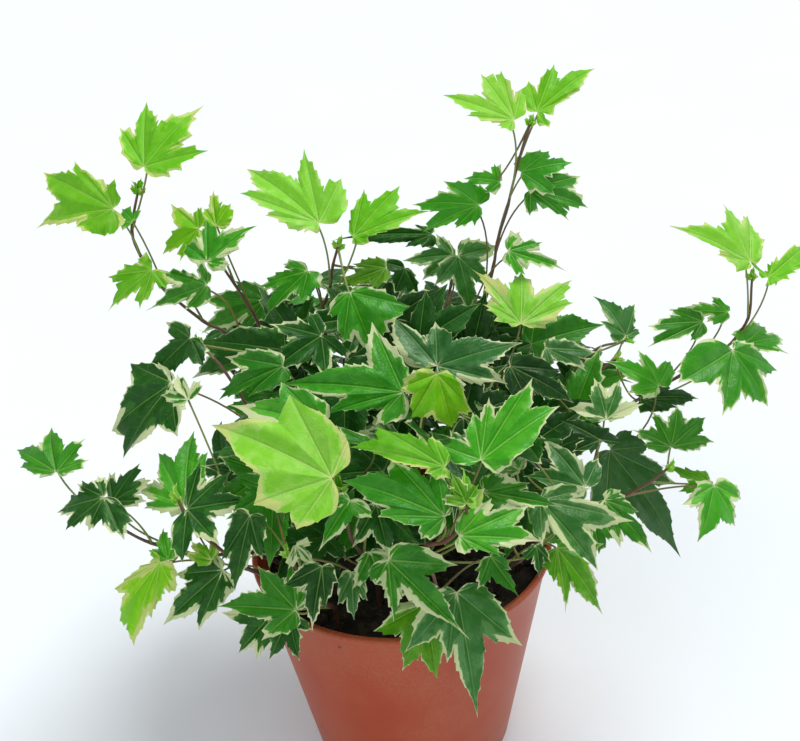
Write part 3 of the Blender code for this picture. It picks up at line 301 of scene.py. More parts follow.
tries = {"seed": 7, "shifts": (0, 1, -1, 2, -2, 3, -3, 4, -4, 5, -5, 6, -6, 8, -8, 10, -10),
         "step": 0.0025, "guard": 0.002, "guardSides": 36,
         "bends": ((0, 0), (0, 0.15), (0.2, 0), (-0.2, 0), (0, -0.2), (0.3, 0.15), (-0.3, 0.15), (0.4, -0.1),
                   (-0.4, -0.1), (0, 0.4), (0, -0.4)),
         "aboveCost": 0.6, "aboveMargin": 0.004, "takenCost": 0.003, "stations": 5}
fillRule = {"count": 44, "draws": 60, "choices": 6, "firstSeat": 3, "axis": Vector((0.0, 0.008, 0.0)),
            "spread": 70, "away": (-0.3, 0.9), "hang": (-0.9, 0.1), "upright": (0.5, 0.9),
            "reach": (0.014, 0.030), "length": (0.028, 0.040), "floor": pot["height"] + 0.004, "turn": 6,
            "lobes": ((-56, 0.72), (56, 0.72), (-108, 0.48), (108, 0.48)), "looks": ("dark", "dark", "green"),
            "cream": 0.3,
            "outline": [(178, 300), (262, 282), (400, 266), (556, 300), (640, 372), (640, 520), (548, 596),
                        (470, 612), (310, 606), (205, 566), (196, 470), (222, 408)]}


def facing(row, seat):
    dx = row["tips"][0][0] - row["seat"][0]
    dy = row["tips"][0][1] - row["seat"][1]
    span = math.hypot(dx, dy)
    slope = (facingRule["hanging"] if dy > 0 else facingRule["rising"]) * dy / span
    elevation = math.radians(facingRule["elevation"] - slope)
    azimuth = math.radians(facingRule["sideTurn"] * seat.x + facingRule["lobeTurn"] * dx / span)
    flat = math.cos(elevation)
    return Vector((math.sin(azimuth) * flat, -math.cos(azimuth) * flat, math.sin(elevation)))


def bladeShape(seat, normal, tips):  # lobes as (angle, reach) round the seat, from left to right
    main = tips[0] - seat
    length = main.length
    forward = main.normalized()
    side = forward.cross(normal)
    lobes = [(0.0, length)]
    for tip in tips[1:]:
        arm = tip - seat
        angle = math.degrees(math.atan2(arm.dot(side), arm.dot(forward)))
        if blade["mainGap"] < abs(angle) < blade["lastAngle"]:
            lobes.append((angle, min(arm.length, blade["reachLimit"] * length)))
    for hand in (-1, 1):
        angles = [angle * hand for angle, reach in lobes if angle * hand > 0]
        turn, share = blade["baseLobe"]
        if not angles:
            lobes.append((hand * blade["sideLobe"][0], blade["sideLobe"][1] * length))
            lobes.append((hand * turn, share * length))
        elif max(angles) < blade["lobedBeyond"]:
            lobes.append((hand * max(turn, max(angles) + blade["baseTurn"]), share * length))
    lobes.sort()
    spaced = []
    for lobe in lobes:
        if spaced and lobe[0] - spaced[-1][0] < blade["spacing"]:
            if spaced[-1][0] == 0.0 or (lobe[0] != 0.0 and spaced[-1][1] > lobe[1]):
                continue
            spaced.pop()
        spaced.append(lobe)
    return {"seat": seat, "normal": normal, "forward": forward, "side": side, "length": length, "lobes": spaced}


def notchBetween(lobe, after, cut, fullSpread):  # (angle, reach) of the notch between two lobes
    angle, reach = lobe
    nextAngle, nextReach = after
    spread = nextAngle - angle
    lean = blade["notchLean"] * (reach - nextReach) / max(reach, nextReach)
    return angle + spread * (0.5 + lean), min(reach, nextReach) * (1 - cut * min(1.0, spread / fullSpread))


def flatPoint(angle, reach):
    turn = math.radians(angle)
    return Vector((math.sin(turn), math.cos(turn))) * reach


def shoulder(tip, notch):
    return (tip[0] + blade["shoulderTurn"] * (notch[0] - tip[0]),
            blade["shoulderShares"][0] * tip[1] + blade["shoulderShares"][1] * notch[1])


def roughOutline(shape):  # the model's own plain outline
    lobes = shape["lobes"]
    polar = [(lobes[0][0] - blade["cornerTurn"], blade["cornerShare"] * lobes[0][1]), lobes[0]]
    for lobe, after in zip(lobes, lobes[1:]):
        notch = notchBetween(lobe, after, shape["cut"], blade["fullSpread"])
        if lobe[0] == 0.0 and not shape.get("plain"):
            polar.append(shoulder(lobe, notch))
        polar.append(notch)
        if after[0] == 0.0 and not shape.get("plain"):
            polar.append(shoulder(after, notch))
        polar.append(after)
    polar.append((lobes[-1][0] + blade["cornerTurn"], blade["cornerShare"] * lobes[-1][1]))
    limit = blade["edgeLimit"]
    return [Vector((0.0, 0.0))] + [flatPoint(max(-limit, min(limit, angle)), reach) for angle, reach in polar]


def lift(shape, x, y):  # height over the flat plane: arched along the midrib, with lobes that droop
    length = shape["length"]
    along = y / length
    arch = shape["arch"] * 4 * along * (1 - along) * length
    return arch - shape["droop"] * x * x / length + shape["fold"] * abs(x)


def onBlade(shape, flat):  # place of a flat point on the curved blade
    return (shape["seat"] + shape["side"] * flat.x + shape["forward"] * flat.y
            + shape["normal"] * lift(shape, flat.x, flat.y))


def roughBlade(shape, thickness, swell):  # the model's plain blade, to try leaves against each other
    edge = [point * swell for point in roughOutline(shape)]
    inner = [Vector((0, share * shape["length"])) for share in
             (blade["plainMidrib"] if shape.get("plain") else blade["midrib"])]
    loop = [(index, (index + 1) % len(edge)) for index in range(len(edge))]
    flat, _, triangles, _, _, _ = delaunay_2d_cdt(edge + inner, loop, [], 1, 1e-7)
    half = shape["normal"] * 0.5 * thickness
    middle = [onBlade(shape, point) for point in flat]
    size = len(flat)
    faces = []
    for a, b, c in triangles:
        if (flat[b] - flat[a]).cross(flat[c] - flat[a]) < 0:
            a, c = c, a
        faces += [(a, b, c), (c + size, b + size, a + size)]
    edges = {pair for a, b, c in faces[0::2] for pair in ((a, b), (b, c), (c, a))}
    for a, b in sorted(edges):
        if (b, a) not in edges:
            faces += [(b, a, a + size), (b, a + size, b + size)]
    return [point + half for point in middle] + [point - half for point in middle], faces


def ringFaces(lower, upper):  # faces between two rings; a ring can be one vertex again and again
    faces = []
    for number in range(len(lower)):
        after = (number + 1) % len(lower)
        corners = [lower[number], lower[after], upper[after], upper[number]]
        faces.append([corner for place, corner in enumerate(corners) if corner not in corners[:place]])
    return faces


def circle(radius, z, sides):
    turns = [2 * math.pi * number / sides for number in range(sides)]
    return [(radius * math.cos(turn), radius * math.sin(turn), z) for turn in turns]


def turned(profile, sides):  # body turned round the Z axis, from (radius, z) places
    verts = []
    rings = []
    for radius, z in profile:
        points = circle(radius, z, sides if radius else 1)
        rings.append([len(verts) + number % len(points) for number in range(sides)])
        verts += points
    return verts, [face for lower, upper in zip(rings, rings[1:]) for face in ringFaces(lower, upper)]


def tube(points, radii, sides):  # closed tube along points
    directions = [(points[min(index + 1, len(points) - 1)] - points[max(index - 1, 0)]).normalized()
                  for index in range(len(points))]
    normal = directions[0].orthogonal().normalized()
    verts = []
    for point, direction, radius in zip(points, directions, radii):
        normal = (normal - direction * normal.dot(direction)).normalized()
        sideways = direction.cross(normal)
        for number in range(sides):
            turn = 2 * math.pi * number / sides
            verts.append(point + (normal * math.cos(turn) + sideways * math.sin(turn)) * radius)
    faces = []
    for index in range(len(points) - 1):
        for number in range(sides):
            a = index * sides + number
            b = index * sides + (number + 1) % sides
            faces += [(a, b, b + sides), (a, b + sides, a + sides)]
    last = (len(points) - 1) * sides
    for number in range(1, sides - 1):
        faces += [(0, number + 1, number), (last, last + number, last + number + 1)]
    return verts, faces


def smoothPath(points, step):  # points about one step apart on a smooth curve
    ends = [points[0] * 2 - points[1]] + points + [points[-1] * 2 - points[-2]]
    path = [points[0]]
    for index in range(1, len(ends) - 2):
        p0, p1, p2, p3 = ends[index - 1:index + 3]
        count = max(1, round((p2 - p1).length / step))
        for number in range(1, count + 1):
            t = number / count
            path.append(0.5 * (2 * p1 + (p2 - p0) * t + (2 * p0 - 5 * p1 + 4 * p2 - p3) * t * t
                               + (3 * p1 - p0 - 3 * p2 + p3) * t * t * t))
    return path


def stemRoute(root, visible):  # foot in the soil, then the points of the smooth part
    foot = Vector((root[0], root[1], soil["top"] - soil["rootDepth"]))
    collar = Vector((root[0], root[1], soil["top"] + stem["collarRise"]))
    first = visible[0] - collar
    flat, up = stem["riseShares"]
    return foot, [collar, collar + Vector((flat * first.x, flat * first.y, up * first.z))] + visible


def stemRadii(path):
    count = len(path) - 1
    return [stem["radius"] + (stem["endRadius"] - stem["radius"]) * index / count for index in range(count + 1)]


def stalkCurve(station, shape, bend):  # three control points of the leaf stalk
    seat = shape["seat"]
    span = (seat - station).length
    inside = seat + shape["forward"] * stalk["sink"] + shape["normal"] * lift(shape, 0.0, stalk["sink"])
    ahead0, up0, sky = stalk["arrival"]
    arrive = shape["forward"] * ahead0 + shape["normal"] * up0 + Vector((0, 0, sky))
    hold = inside - arrive.normalized() * stalk["arrivalShare"] * span
    hold += shape["side"] * bend[0] * span + Vector((0, 0, bend[1] * span))
    return station, hold, inside


def onCurve(curve, t):
    return curve[0] * (1 - t) ** 2 + curve[1] * 2 * t * (1 - t) + curve[2] * t * t


def stalkTube(curve, extra=0.0):
    route = [onCurve(curve, index / stalk["steps"]) for index in range(stalk["steps"] + 1)]
    radii = [stalk["radius"] + extra] * stalk["steps"] + [stalk["tipRadius"] + extra]
    return tube(route, radii, stalk["sides"])


def searchable(mesh):  # lowest and highest corner of a mesh, and its tree
    places = np.array([tuple(point) for point in mesh[0]])
    return places.min(0), places.max(0), BVHTree.FromPolygons(*mesh)


class Thicket:  # what has been placed so far
    def __init__(self):
        self.solids = []

    def add(self, mesh, node, kind):
        self.solids.append((*searchable(mesh), node, kind))

    def clear(self, mesh, node=None, allowed=()):  # meets nothing, or only the allowed kinds of its own stem
        low, high, tree = searchable(mesh)
        for otherLow, otherHigh, otherTree, otherNode, kind in self.solids:
            if otherNode == node and kind in allowed:
                continue
            if (low > otherHigh).any() or (high < otherLow).any():
                continue
            if tree.overlap(otherTree):
                return False
        return True

    def covered(self, start, way, far):  # whether a blade is met on the way
        for low, high, tree, node, kind in self.solids:
            if kind == "blade" and tree.ray_cast(start, way, far)[0] is not None:
                return True
        return False


def stationsFor(path, seat, used):
    ranked = []
    for index in range(stem["firstSeat"], len(path)):
        cost = abs((seat - path[index]).length - stalk["reach"])
        cost += tries["aboveCost"] * max(0.0, path[index].z - seat.z + tries["aboveMargin"])
        cost += tries["takenCost"] * used.count(index)
        ranked.append((cost, index))
    ranked.sort()
    return [index for cost, index in ranked[:tries["stations"]]]


def curves(rng):
    return {key: rng.uniform(*blade[key]) for key in ("arch", "droop", "fold", "cut")}


def tryLeaf(shape, node, path, used, thicket, strict):
    allowed = () if strict else ("blade", "stalk")
    fat = roughBlade(shape, blade["thickness"] + 2 * blade["clearance"], blade["swell"])
    if not thicket.clear(fat, node, allowed):
        return None
    for index in stationsFor(path, shape["seat"], used):
        for bend in tries["bends"]:
            curve = stalkCurve(path[index], shape, bend)
            if thicket.clear(stalkTube(curve, blade["clearance"]), node, allowed + ("stem",)):
                return curve, index
    return None


def placeLeaf(row, node, path, used, thicket, rng):  # slides a leaf along the line of sight until it is clear
    drawn = curves(rng)
    for strict in (True, False):
        for shift in tries["shifts"]:
            seat = seen(*row["seat"], row["y"]) + sight(*row["seat"]) * shift * tries["step"]
            normal = facing(row, seat)
            tips = []
            for tip in row["tips"]:
                ray = sight(*tip)
                tips.append(eye + ray * ((seat - eye).dot(normal) / ray.dot(normal)))
            shape = bladeShape(seat, normal, tips)
            shape.update(drawn)
            if row["cut"]:
                shape["cut"] = row["cut"]
            found = tryLeaf(shape, node, path, used, thicket, strict)
            if found:
                return shape, found
    return None


def inFillOutline(point):
    u, v = inView(point)
    edge = fillRule["outline"]
    inside = False
    for (u1, v1), (u2, v2) in zip(edge, edge[1:] + edge[:1]):
        if (v1 > v) != (v2 > v) and u < u1 + (u2 - u1) * (v - v1) / (v2 - v1):
            inside = not inside
    return inside


def plainShape(seat, forward, normal, length, rng):  # a blade with five lobes, and their tips
    side = forward.cross(normal)
    tips = [seat + forward * length]
    for angle, reach in fillRule["lobes"]:
        arm = math.radians(angle + rng.uniform(-fillRule["turn"], fillRule["turn"]))
        tips.append(seat + (side * math.sin(arm) + forward * math.cos(arm)) * length * reach)
    shape = bladeShape(seat, normal, tips)
    shape.update(curves(rng))
    shape["plain"] = True
    return shape, tips


def fillShape(place, rng):
    out = place - fillRule["axis"]
    out.z = 0
    spread = math.radians(rng.uniform(-fillRule["spread"], fillRule["spread"]))
    out = Matrix.Rotation(spread, 3, "Z") @ out.normalized()
    away = (out + Vector((0, 0, rng.uniform(*fillRule["away"])))).normalized()
    seat = place + away * rng.uniform(*fillRule["reach"])
    forward = (out + Vector((0, 0, rng.uniform(*fillRule["hang"])))).normalized()
    flat, up = fillRule["upright"]
    normal = out * flat + Vector((0, 0, up))
    normal = (normal - forward * normal.dot(forward)).normalized()
    shape, tips = plainShape(seat, forward, normal, rng.uniform(*fillRule["length"]), rng)
    low = min(point.z for point in tips) < fillRule["floor"]
    return shape if all(inFillOutline(point) for point in tips + [seat]) and not low else None


def keepLeaf(found, node, look, plants, used, thicket):
    shape, (curve, index) = found
    used[node].append(index)
    plants[node]["leaves"].append({"shape": shape, "curve": curve, "index": index, "look": look})
    thicket.add(roughBlade(shape, blade["thickness"], 1.0), node, "blade")
    thicket.add(stalkTube(curve), node, "stalk")


def fillBush(plants, used, thicket, rng):
    names = list(plants)
    seats = [grown["shape"]["seat"] for plant in plants.values() for grown in plant["leaves"]]
    for _ in range(fillRule["count"]):
        best = None
        choices = 0
        for _ in range(fillRule["draws"]):
            node = rng.choice(names)
            path = plants[node]["path"]
            shape = fillShape(path[rng.randrange(fillRule["firstSeat"], len(path))], rng)
            if not shape:
                continue
            room = min((shape["seat"] - seat).length for seat in seats)
            if best and room <= best[0]:
                continue
            found = tryLeaf(shape, node, path, used[node], thicket, True)
            if found:
                best = (room, node, shape, found)
                choices += 1
            if choices == fillRule["choices"]:
                break
        if best:
            room, node, shape, found = best
            keepLeaf((shape, found), node, None, plants, used, thicket)
            seats.append(shape["seat"])


def grow():
    rng = random.Random(tries["seed"])
    thicket = Thicket()
    plants = {}
    for plan in stems:
        plants[plan["node"]] = stemRoute(plan["root"], [seen(*place) for place in plan["route"]])
    for node, root, end in backStems:
        end = Vector(end)
        middle = (Vector((*root, soil["top"])) + end) * stem["backRise"] + Vector((0, 0, stem["backLift"]))
        plants[node] = stemRoute(root, [middle, end])
    for node, (foot, points) in plants.items():
        path = [foot] + smoothPath(points, stem["step"])
        fine = [foot] + smoothPath(points, stem["fineStep"])
        plants[node] = {"path": path, "fine": fine, "leaves": []}
    guard = [(0, 0), (pot["foot"], 0), (pot["rim"] + tries["guard"], pot["height"] + blade["clearance"])]
    thicket.add(turned(guard, tries["guardSides"]), "pot", "pot")
    for node, plant in plants.items():
        thicket.add(tube(plant["path"], stemRadii(plant["path"]), stem["sides"]), node, "stem")
    used = {node: [] for node in plants}
    for plan in stems:
        node = plan["node"]
        for row in plan["leaves"]:
            found = placeLeaf(row, node, plants[node]["path"], used[node], thicket, rng)
            keepLeaf(found, node, (row["look"], row["cream"]), plants, used, thicket)
    fillBush(plants, used, thicket, rng)
    return plants, used, thicket


plants, used, thicket = grow()
print("grown:", sum(len(plant["leaves"]) for plant in plants.values()), "leaves")

# Small dark leaves inside the bush, put where a look into it would pass between the blades above them; their
# dark greens are partly painted shade.
inner = {"seed": 33, "middle": Vector((0.0, 0.012, 0.158)), "reach": Vector((0.098, 0.080, 0.058)),
         "floor": 0.106, "step": 15, "jitter": 6, "distance": 0.4, "spacing": 0.017, "rows": 5, "columns": 6,
         "views": ((0, 20), (0, 70), (45, 25), (90, 20), (135, 20), (180, 20), (225, 20), (270, 20), (315, 25),
                   (180, 65), (90, 60), (270, 60)),
         "entry": 0.35, "ahead": 0.02, "depths": (0, 0.006, -0.006, 0.012, -0.012, 0.02, -0.02, 0.03),
         "draws": 5, "length": (0.026, 0.036), "thickness": 0.0012, "lean": (-0.35, 0.35), "rise": (0.1, 0.7),
         "turn": 80, "hang": 0.5, "seatShare": 0.45, "axis": 0.01, "looks": ("deep", "dark", "dark", "green"),
         "cream": 0.25, "stations": 6, "bends": 5, "above": 0.01, "spots": (0.35, 0.7, 1.0), "skin": 0.001,
         "behind": 0.5}


def innerShape(centre, way, rng):
    normal = way + Vector([rng.uniform(*inner[key]) for key in ("lean", "lean", "rise")])
    normal.normalize()
    out = centre - inner["middle"]
    out.z = 0
    out = out.normalized() if out.length > inner["axis"] else Vector((0, -1, 0))
    turn = Matrix.Rotation(math.radians(rng.uniform(-inner["turn"], inner["turn"])), 3, normal)
    forward = turn @ (out + Vector((0, 0, -inner["hang"])))
    forward = (forward - normal * forward.dot(normal)).normalized()
    length = rng.uniform(*inner["length"])
    seat = centre - forward * length * inner["seatShare"]
    shape, tips = plainShape(seat, forward, normal, length, rng)
    low = min(point.z for point in tips + [seat]) < inner["floor"]
    return None if low or not all(inFillOutline(point) for point in tips + [seat]) else shape


def nearStalk(shape):  # the nearest stalk that meets nothing, or else just the nearest
    near = sorted(((shape["seat"] - point).length, node, index) for node, plant in plants.items()
                  for index, point in enumerate(plant["path"])
                  if index >= stem["firstSeat"] and point.z < shape["seat"].z + inner["above"])
    for span, node, index in near[:inner["stations"]]:
        for bend in tries["bends"][:inner["bends"]]:
            curve = stalkCurve(plants[node]["path"][index], shape, bend)
            if thicket.clear(stalkTube(curve), node, ("stem",)):
                return curve, index, node
    span, node, index = near[0]
    return stalkCurve(plants[node]["path"][index], shape, (0, 0)), index, node


def innerLeaf(way, centre, shown, rng):  # a leaf on the line of sight, if there is room for one
    for depth in inner["depths"]:
        for _ in range(inner["draws"]):
            shape = innerShape(centre + way * depth, -way, rng)
            if not shape or not hidesNothing(shape, shown):
                continue
            if thicket.clear(roughBlade(shape, inner["thickness"], 1.0)):
                curve, index, node = nearStalk(shape)
                look = (rng.choice(inner["looks"]), rng.uniform(0.0, inner["cream"]))
                keepLeaf((shape, (curve, index)), node, look, plants, used, thicket)
                return True
    return False


def hidesNothing(shape, shown):  # true where no leaf of the photograph lies behind a visible part of the blade
    for angle, reach in shape["lobes"]:
        for share in inner["spots"]:
            spot = onBlade(shape, flatPoint(angle, reach * share))
            way = (spot - eye).normalized()
            far = (spot - eye).length
            if any(tree.ray_cast(eye, way, far - inner["skin"])[0] is not None for tree in shown):
                continue
            start = spot + way * inner["skin"]
            if any(tree.ray_cast(start, way, inner["behind"])[0] is not None for tree in shown):
                return False
    return True


def bushEntry(start, way):  # how far along a line the leaf would stand, just before the bush's middle
    arm = Vector(a / b for a, b in zip(start - inner["middle"], inner["reach"]))
    along = Vector(a / b for a, b in zip(way, inner["reach"]))
    t = -arm.dot(along) / along.dot(along)
    near = arm + along * t
    if near.length > 1:
        return None
    return t - inner["entry"] * math.sqrt(1 - near.length_squared) / along.length


def looksInto(rng):  # lines of sight into the bush, over its outline in the frame and from all round
    us = [u for u, v in fillRule["outline"]]
    vs = [v for u, v in fillRule["outline"]]
    jitter = inner["jitter"]
    lines = [(eye, sight(u + rng.uniform(-jitter, jitter), v + rng.uniform(-jitter, jitter)))
             for v in range(min(vs), max(vs), inner["step"]) for u in range(min(us), max(us), inner["step"])]
    for azimuth, elevation in inner["views"]:
        a, e = math.radians(azimuth), math.radians(elevation)
        back = Vector((math.sin(a) * math.cos(e), -math.cos(a) * math.cos(e), math.sin(e)))
        right = Vector((math.cos(a), math.sin(a), 0))
        up = back.cross(right)
        for row in range(-inner["rows"], inner["rows"] + 1):
            for column in range(-inner["columns"], inner["columns"] + 1):
                shift = right * column * inner["spacing"] + up * row * inner["spacing"]
                lines.append((inner["middle"] + back * inner["distance"] + shift, -back))
    return lines


def closeGaps():
    rng = random.Random(inner["seed"])
    made = 0
    shown = [BVHTree.FromPolygons(*roughBlade(grown["shape"], blade["thickness"], 1.0))
             for plant in plants.values() for grown in plant["leaves"] if grown["look"]]
    for start, way in looksInto(rng):
        t = bushEntry(start, way)
        if t is None or (start + way * t).z < inner["floor"]:
            continue
        if not thicket.covered(start, way, t + inner["ahead"]):
            made += innerLeaf(way, start + way * t, shown, rng)
    return made


print("inner leaves:", closeGaps())


class Socket:  # a shader socket that can stand in sums
    def __init__(self, finish, node, index):
        self.finish = finish
        self.node = node
        self.socket = node.outputs[index]

    def out(self, index):
        return Socket(self.finish, self.node, index)

    def __add__(self, other):
        return self.finish.maths("ADD", self, other)

    def __radd__(self, other):
        return self.finish.maths("ADD", other, self)

    def __sub__(self, other):
        return self.finish.maths("SUBTRACT", self, other)

    def __rsub__(self, other):
        return self.finish.maths("SUBTRACT", other, self)

    def __mul__(self, other):
        return self.finish.maths("MULTIPLY", self, other)

    def __rmul__(self, other):
        return self.finish.maths("MULTIPLY", other, self)

    def __truediv__(self, other):
        return self.finish.maths("DIVIDE", self, other)


class Finish:  # a material under construction
    def __init__(self, name):
        self.material = bpy.data.materials.new(name)
        self.material.use_nodes = True
        self.tree = self.material.node_tree
        self.shader = self.tree.nodes["Principled BSDF"]

    def node(self, kind, settings, values, index=0):
        made = self.tree.nodes.new("ShaderNode" + kind)
        for key, value in settings.items():
            setattr(made, key, value)
        self.fill(made, values)
        return Socket(self, made, index)

    def fill(self, made, values):
        for key, value in values.items():
            if isinstance(value, Socket):
                self.tree.links.new(value.socket, made.inputs[key])
            else:
                made.inputs[key].default_value = value

    def maths(self, operation, *values):
        return self.node("Math", {"operation": operation}, dict(enumerate(values)))

    def mix(self, factor, first, second):
        return self.node("Mix", {"data_type": "RGBA"}, {0: factor, 6: first, 7: second}, 2)

    def tint(self, color, factor):  # colour made lighter or darker by a grey factor
        return self.node("VectorMath", {"operation": "SCALE"}, {0: color, "Scale": factor})

    def step(self, value, low, high):  # 0 below low, 1 above high, smooth between
        return self.node("MapRange", {"interpolation_type": "SMOOTHSTEP"}, {0: value, 1: low, 2: high})

    def attribute(self, name):  # the three numbers kept in one attribute
        read = self.node("Attribute", {"attribute_name": name}, {}, 1)
        first = self.node("SeparateXYZ", {}, {0: read})
        return first, first.out(1), first.out(2)

    def colored(self, name):
        return self.node("Attribute", {"attribute_name": name}, {})

    def place(self):
        return self.node("TexCoord", {}, {}, 3)

    def cells(self, scale, settings):
        return self.node("TexVoronoi", settings, {"Vector": self.place(), "Scale": scale})

    def picked(self, cells):  # an even random number for each cell
        return self.node("SeparateColor", {}, {0: cells.out(1)})

    def noise(self, scale, detail=2.0, roughness=0.5, vector=None):
        return self.node("TexNoise", {}, {"Vector": vector or self.place(), "Scale": scale, "Detail": detail,
                                          "Roughness": roughness})

    def bump(self, height, strength, distance):
        return self.node("Bump", {}, {"Height": height, "Strength": strength, "Distance": distance})


def shade(red, green, blue):  # a colour as on the screen, made linear
    return tuple(((value / 255 + 0.055) / 1.055) ** 2.4 for value in (red, green, blue)) + (1.0,)


# Greens of the leaves and the paler accents between their veins, and which finish they take.
looks = {
    # "glow": the pale green of young leaves, made paler still by painted light shining through and onto the top
    # leaves.
    "glow": ((138, 216, 56), (184, 236, 116), "young"),
    "bright": ((96, 186, 20), (144, 216, 64), "young"),
    "lime": ((114, 204, 10), (160, 220, 48), "young"),
    "fresh": ((56, 160, 14), (100, 190, 50), "green"),
    "mid": ((42, 140, 10), (84, 172, 38), "green"),
    "green": ((32, 114, 10), (68, 146, 36), "green"),
    "olive": ((74, 142, 8), (118, 176, 38), "green"),
    "grey": ((38, 102, 36), (98, 146, 86), "green"),
    "dark": ((20, 80, 10), (52, 114, 34), "dark"),
    # "deep": a dark green darkened further by painted shade, for leaves deep in the bush.
    "deep": ((12, 58, 6), (34, 88, 24), "dark"),
    # "shade": a grey-green darkened by painted shade, for a leaf that lies in shade.
    "shade": ((54, 102, 50), (84, 126, 70), "dark"),
}
finishes = {  # cream, light that comes through and its share, roughness, specular level
    "young": {"cream": (220, 230, 140), "through": (140, 215, 30), "share": 0.28, "roughness": 0.44,
              "gloss": 0.24},
    "green": {"cream": (216, 226, 172), "through": (90, 185, 25), "share": 0.20, "roughness": 0.38,
              "gloss": 0.32},
    "dark": {"cream": (216, 226, 172), "through": (50, 130, 20), "share": 0.12, "roughness": 0.38,
             "gloss": 0.26},
}
surface = {  # widths in metres; an "Edge" is the range in which a pattern fades, a "Share" is how much it shows
    "polar": (1.5, 0.5, 40), "sectorScale": 1.5, "sectorFrom": 0.43, "sectorGain": 3.4, "featherScale": 5.0,
    "creamWidth": 0.0056, "streak": 0.0042, "ragged": 0.0012, "creamEdge": (-0.0001, 0.0003),
    "accentWidth": 1.7, "accentMottle": (0.42, 0.007), "accentEdge": (-0.0005, 0.0009), "accentShare": 0.7,
    "rim": 0.0003, "rimMix": (5.0, 3.0, 2.9, 1.6), "rimEdge": (-0.0001, 0.00015), "rimShare": 0.85,
    "veinWidth": 0.00034, "veinTaper": 0.0003, "veinEdge": (-0.0001, 0.0002), "veinShare": 0.75,
    "veinColor": (205, 225, 150), "veinPale": 0.30, "sideEvery": 0.0046, "sideLean": 0.85, "sideWave": 0.002,
    "sideWidth": 0.0002, "sideEdge": (-0.0002, 0.0002), "sideShare": 0.16, "halo": 0.0022, "haloShare": 0.25,
    "mottleScale": 190, "mottleEdge": (0.42, 0.70), "mottleShare": 0.45, "edgeScale": 420, "roughSpread": 0.16,
    "veinRise": (0.0009, 0.5), "sectorRise": (0.0055, 2.2), "cellScale": 700.0, "cellRise": (0.25, 0.06),
    "mottleRise": 0.3, "puckerScale": 75.0, "puckerRise": 3.0, "bump": (0.9, 0.0008)}


def leafFinish(name, values):
    leafy = Finish(name)
    edge, off, along = leafy.attribute("veinMap")
    turn, reach, seed = leafy.attribute("polarMap")
    cream, share, veins = leafy.attribute("traits")
    green = leafy.colored("leafGreen")
    accent = leafy.colored("leafAccent")
    polar = leafy.node("CombineXYZ", {}, {index: value * rate for index, (value, rate) in
                                          enumerate(zip((turn, reach, seed), surface["polar"]))})
    sectors = leafy.noise(surface["sectorScale"], vector=polar)
    fine = leafy.noise(surface["edgeScale"], 3.0, 0.55)
    mottle = leafy.noise(surface["mottleScale"], 3.0, 0.6)
    feather = leafy.noise(surface["featherScale"], 3.0, 0.65, polar) - 0.5
    broad = (sectors - surface["sectorFrom"]) * surface["sectorGain"] * surface["creamWidth"]
    width = cream * (broad + feather * surface["streak"]) + (fine - 0.5) * surface["ragged"]
    pale = leafy.step(width - edge, *surface["creamEdge"])
    middle, gain = surface["accentMottle"]
    between = width * surface["accentWidth"] + (mottle - middle) * gain - edge
    between = leafy.step(between, *surface["accentEdge"])
    bySector, byFeather, less, byCream = surface["rimMix"]
    rim = surface["rim"] * (sectors * bySector + fine + feather * byFeather - less + cream * byCream)
    rim = leafy.step(rim - edge, *surface["rimEdge"])
    main = leafy.step(surface["veinWidth"] - share * surface["veinTaper"] - off, *surface["veinEdge"])
    pulse = (along - off * surface["sideLean"] + mottle * surface["sideWave"]) / surface["sideEvery"]
    stripe = leafy.maths("ABSOLUTE", leafy.maths("FRACT", pulse) - 0.5) * surface["sideEvery"]
    small = leafy.step(surface["sideWidth"] - stripe, *surface["sideEdge"]) * surface["sideShare"]
    lines = leafy.maths("MAXIMUM", main, small) * veins
    color = leafy.mix(leafy.step(mottle, *surface["mottleEdge"]) * surface["mottleShare"], green, accent)
    color = leafy.mix(between * surface["accentShare"], color, accent)
    color = leafy.mix(leafy.step(off, surface["halo"], 0.0) * veins * surface["haloShare"], color, accent)
    veinColor = leafy.mix(surface["veinPale"], accent, shade(*surface["veinColor"]))
    color = leafy.mix(lines * surface["veinShare"], color, veinColor)
    color = leafy.mix(leafy.maths("MAXIMUM", pale, rim * surface["rimShare"]), color, shade(*values["cream"]))
    height = small * -0.5 + mottle * surface["mottleRise"]
    for reach, rise in (surface["veinRise"], surface["sectorRise"]):
        height = height + leafy.step(off, 0.0, reach) * rise
    reach, rise = surface["cellRise"]
    cells = leafy.cells(surface["cellScale"], {"feature": "DISTANCE_TO_EDGE"})
    height = height + leafy.step(cells, 0.0, reach) * rise
    height = height + leafy.noise(surface["puckerScale"]) * surface["puckerRise"]
    leafy.fill(leafy.shader, {
        "Base Color": color, "Roughness": values["roughness"] + (fine - 0.5) * surface["roughSpread"],
        "Specular IOR Level": values["gloss"], "Normal": leafy.bump(height, *surface["bump"])})
    through = leafy.node("BsdfTranslucent", {}, {"Color": shade(*values["through"])})
    both = leafy.node("MixShader", {}, {0: values["share"], 1: Socket(leafy, leafy.shader, 0), 2: through})
    leafy.fill(leafy.tree.nodes["Material Output"], {"Surface": both})
    return leafy.material


woodLook = {"old": (78, 56, 42), "young": (102, 74, 52), "stalk": (136, 150, 70), "red": (120, 60, 48),
            "bark": (64, 50, 34), "streakScale": 260}


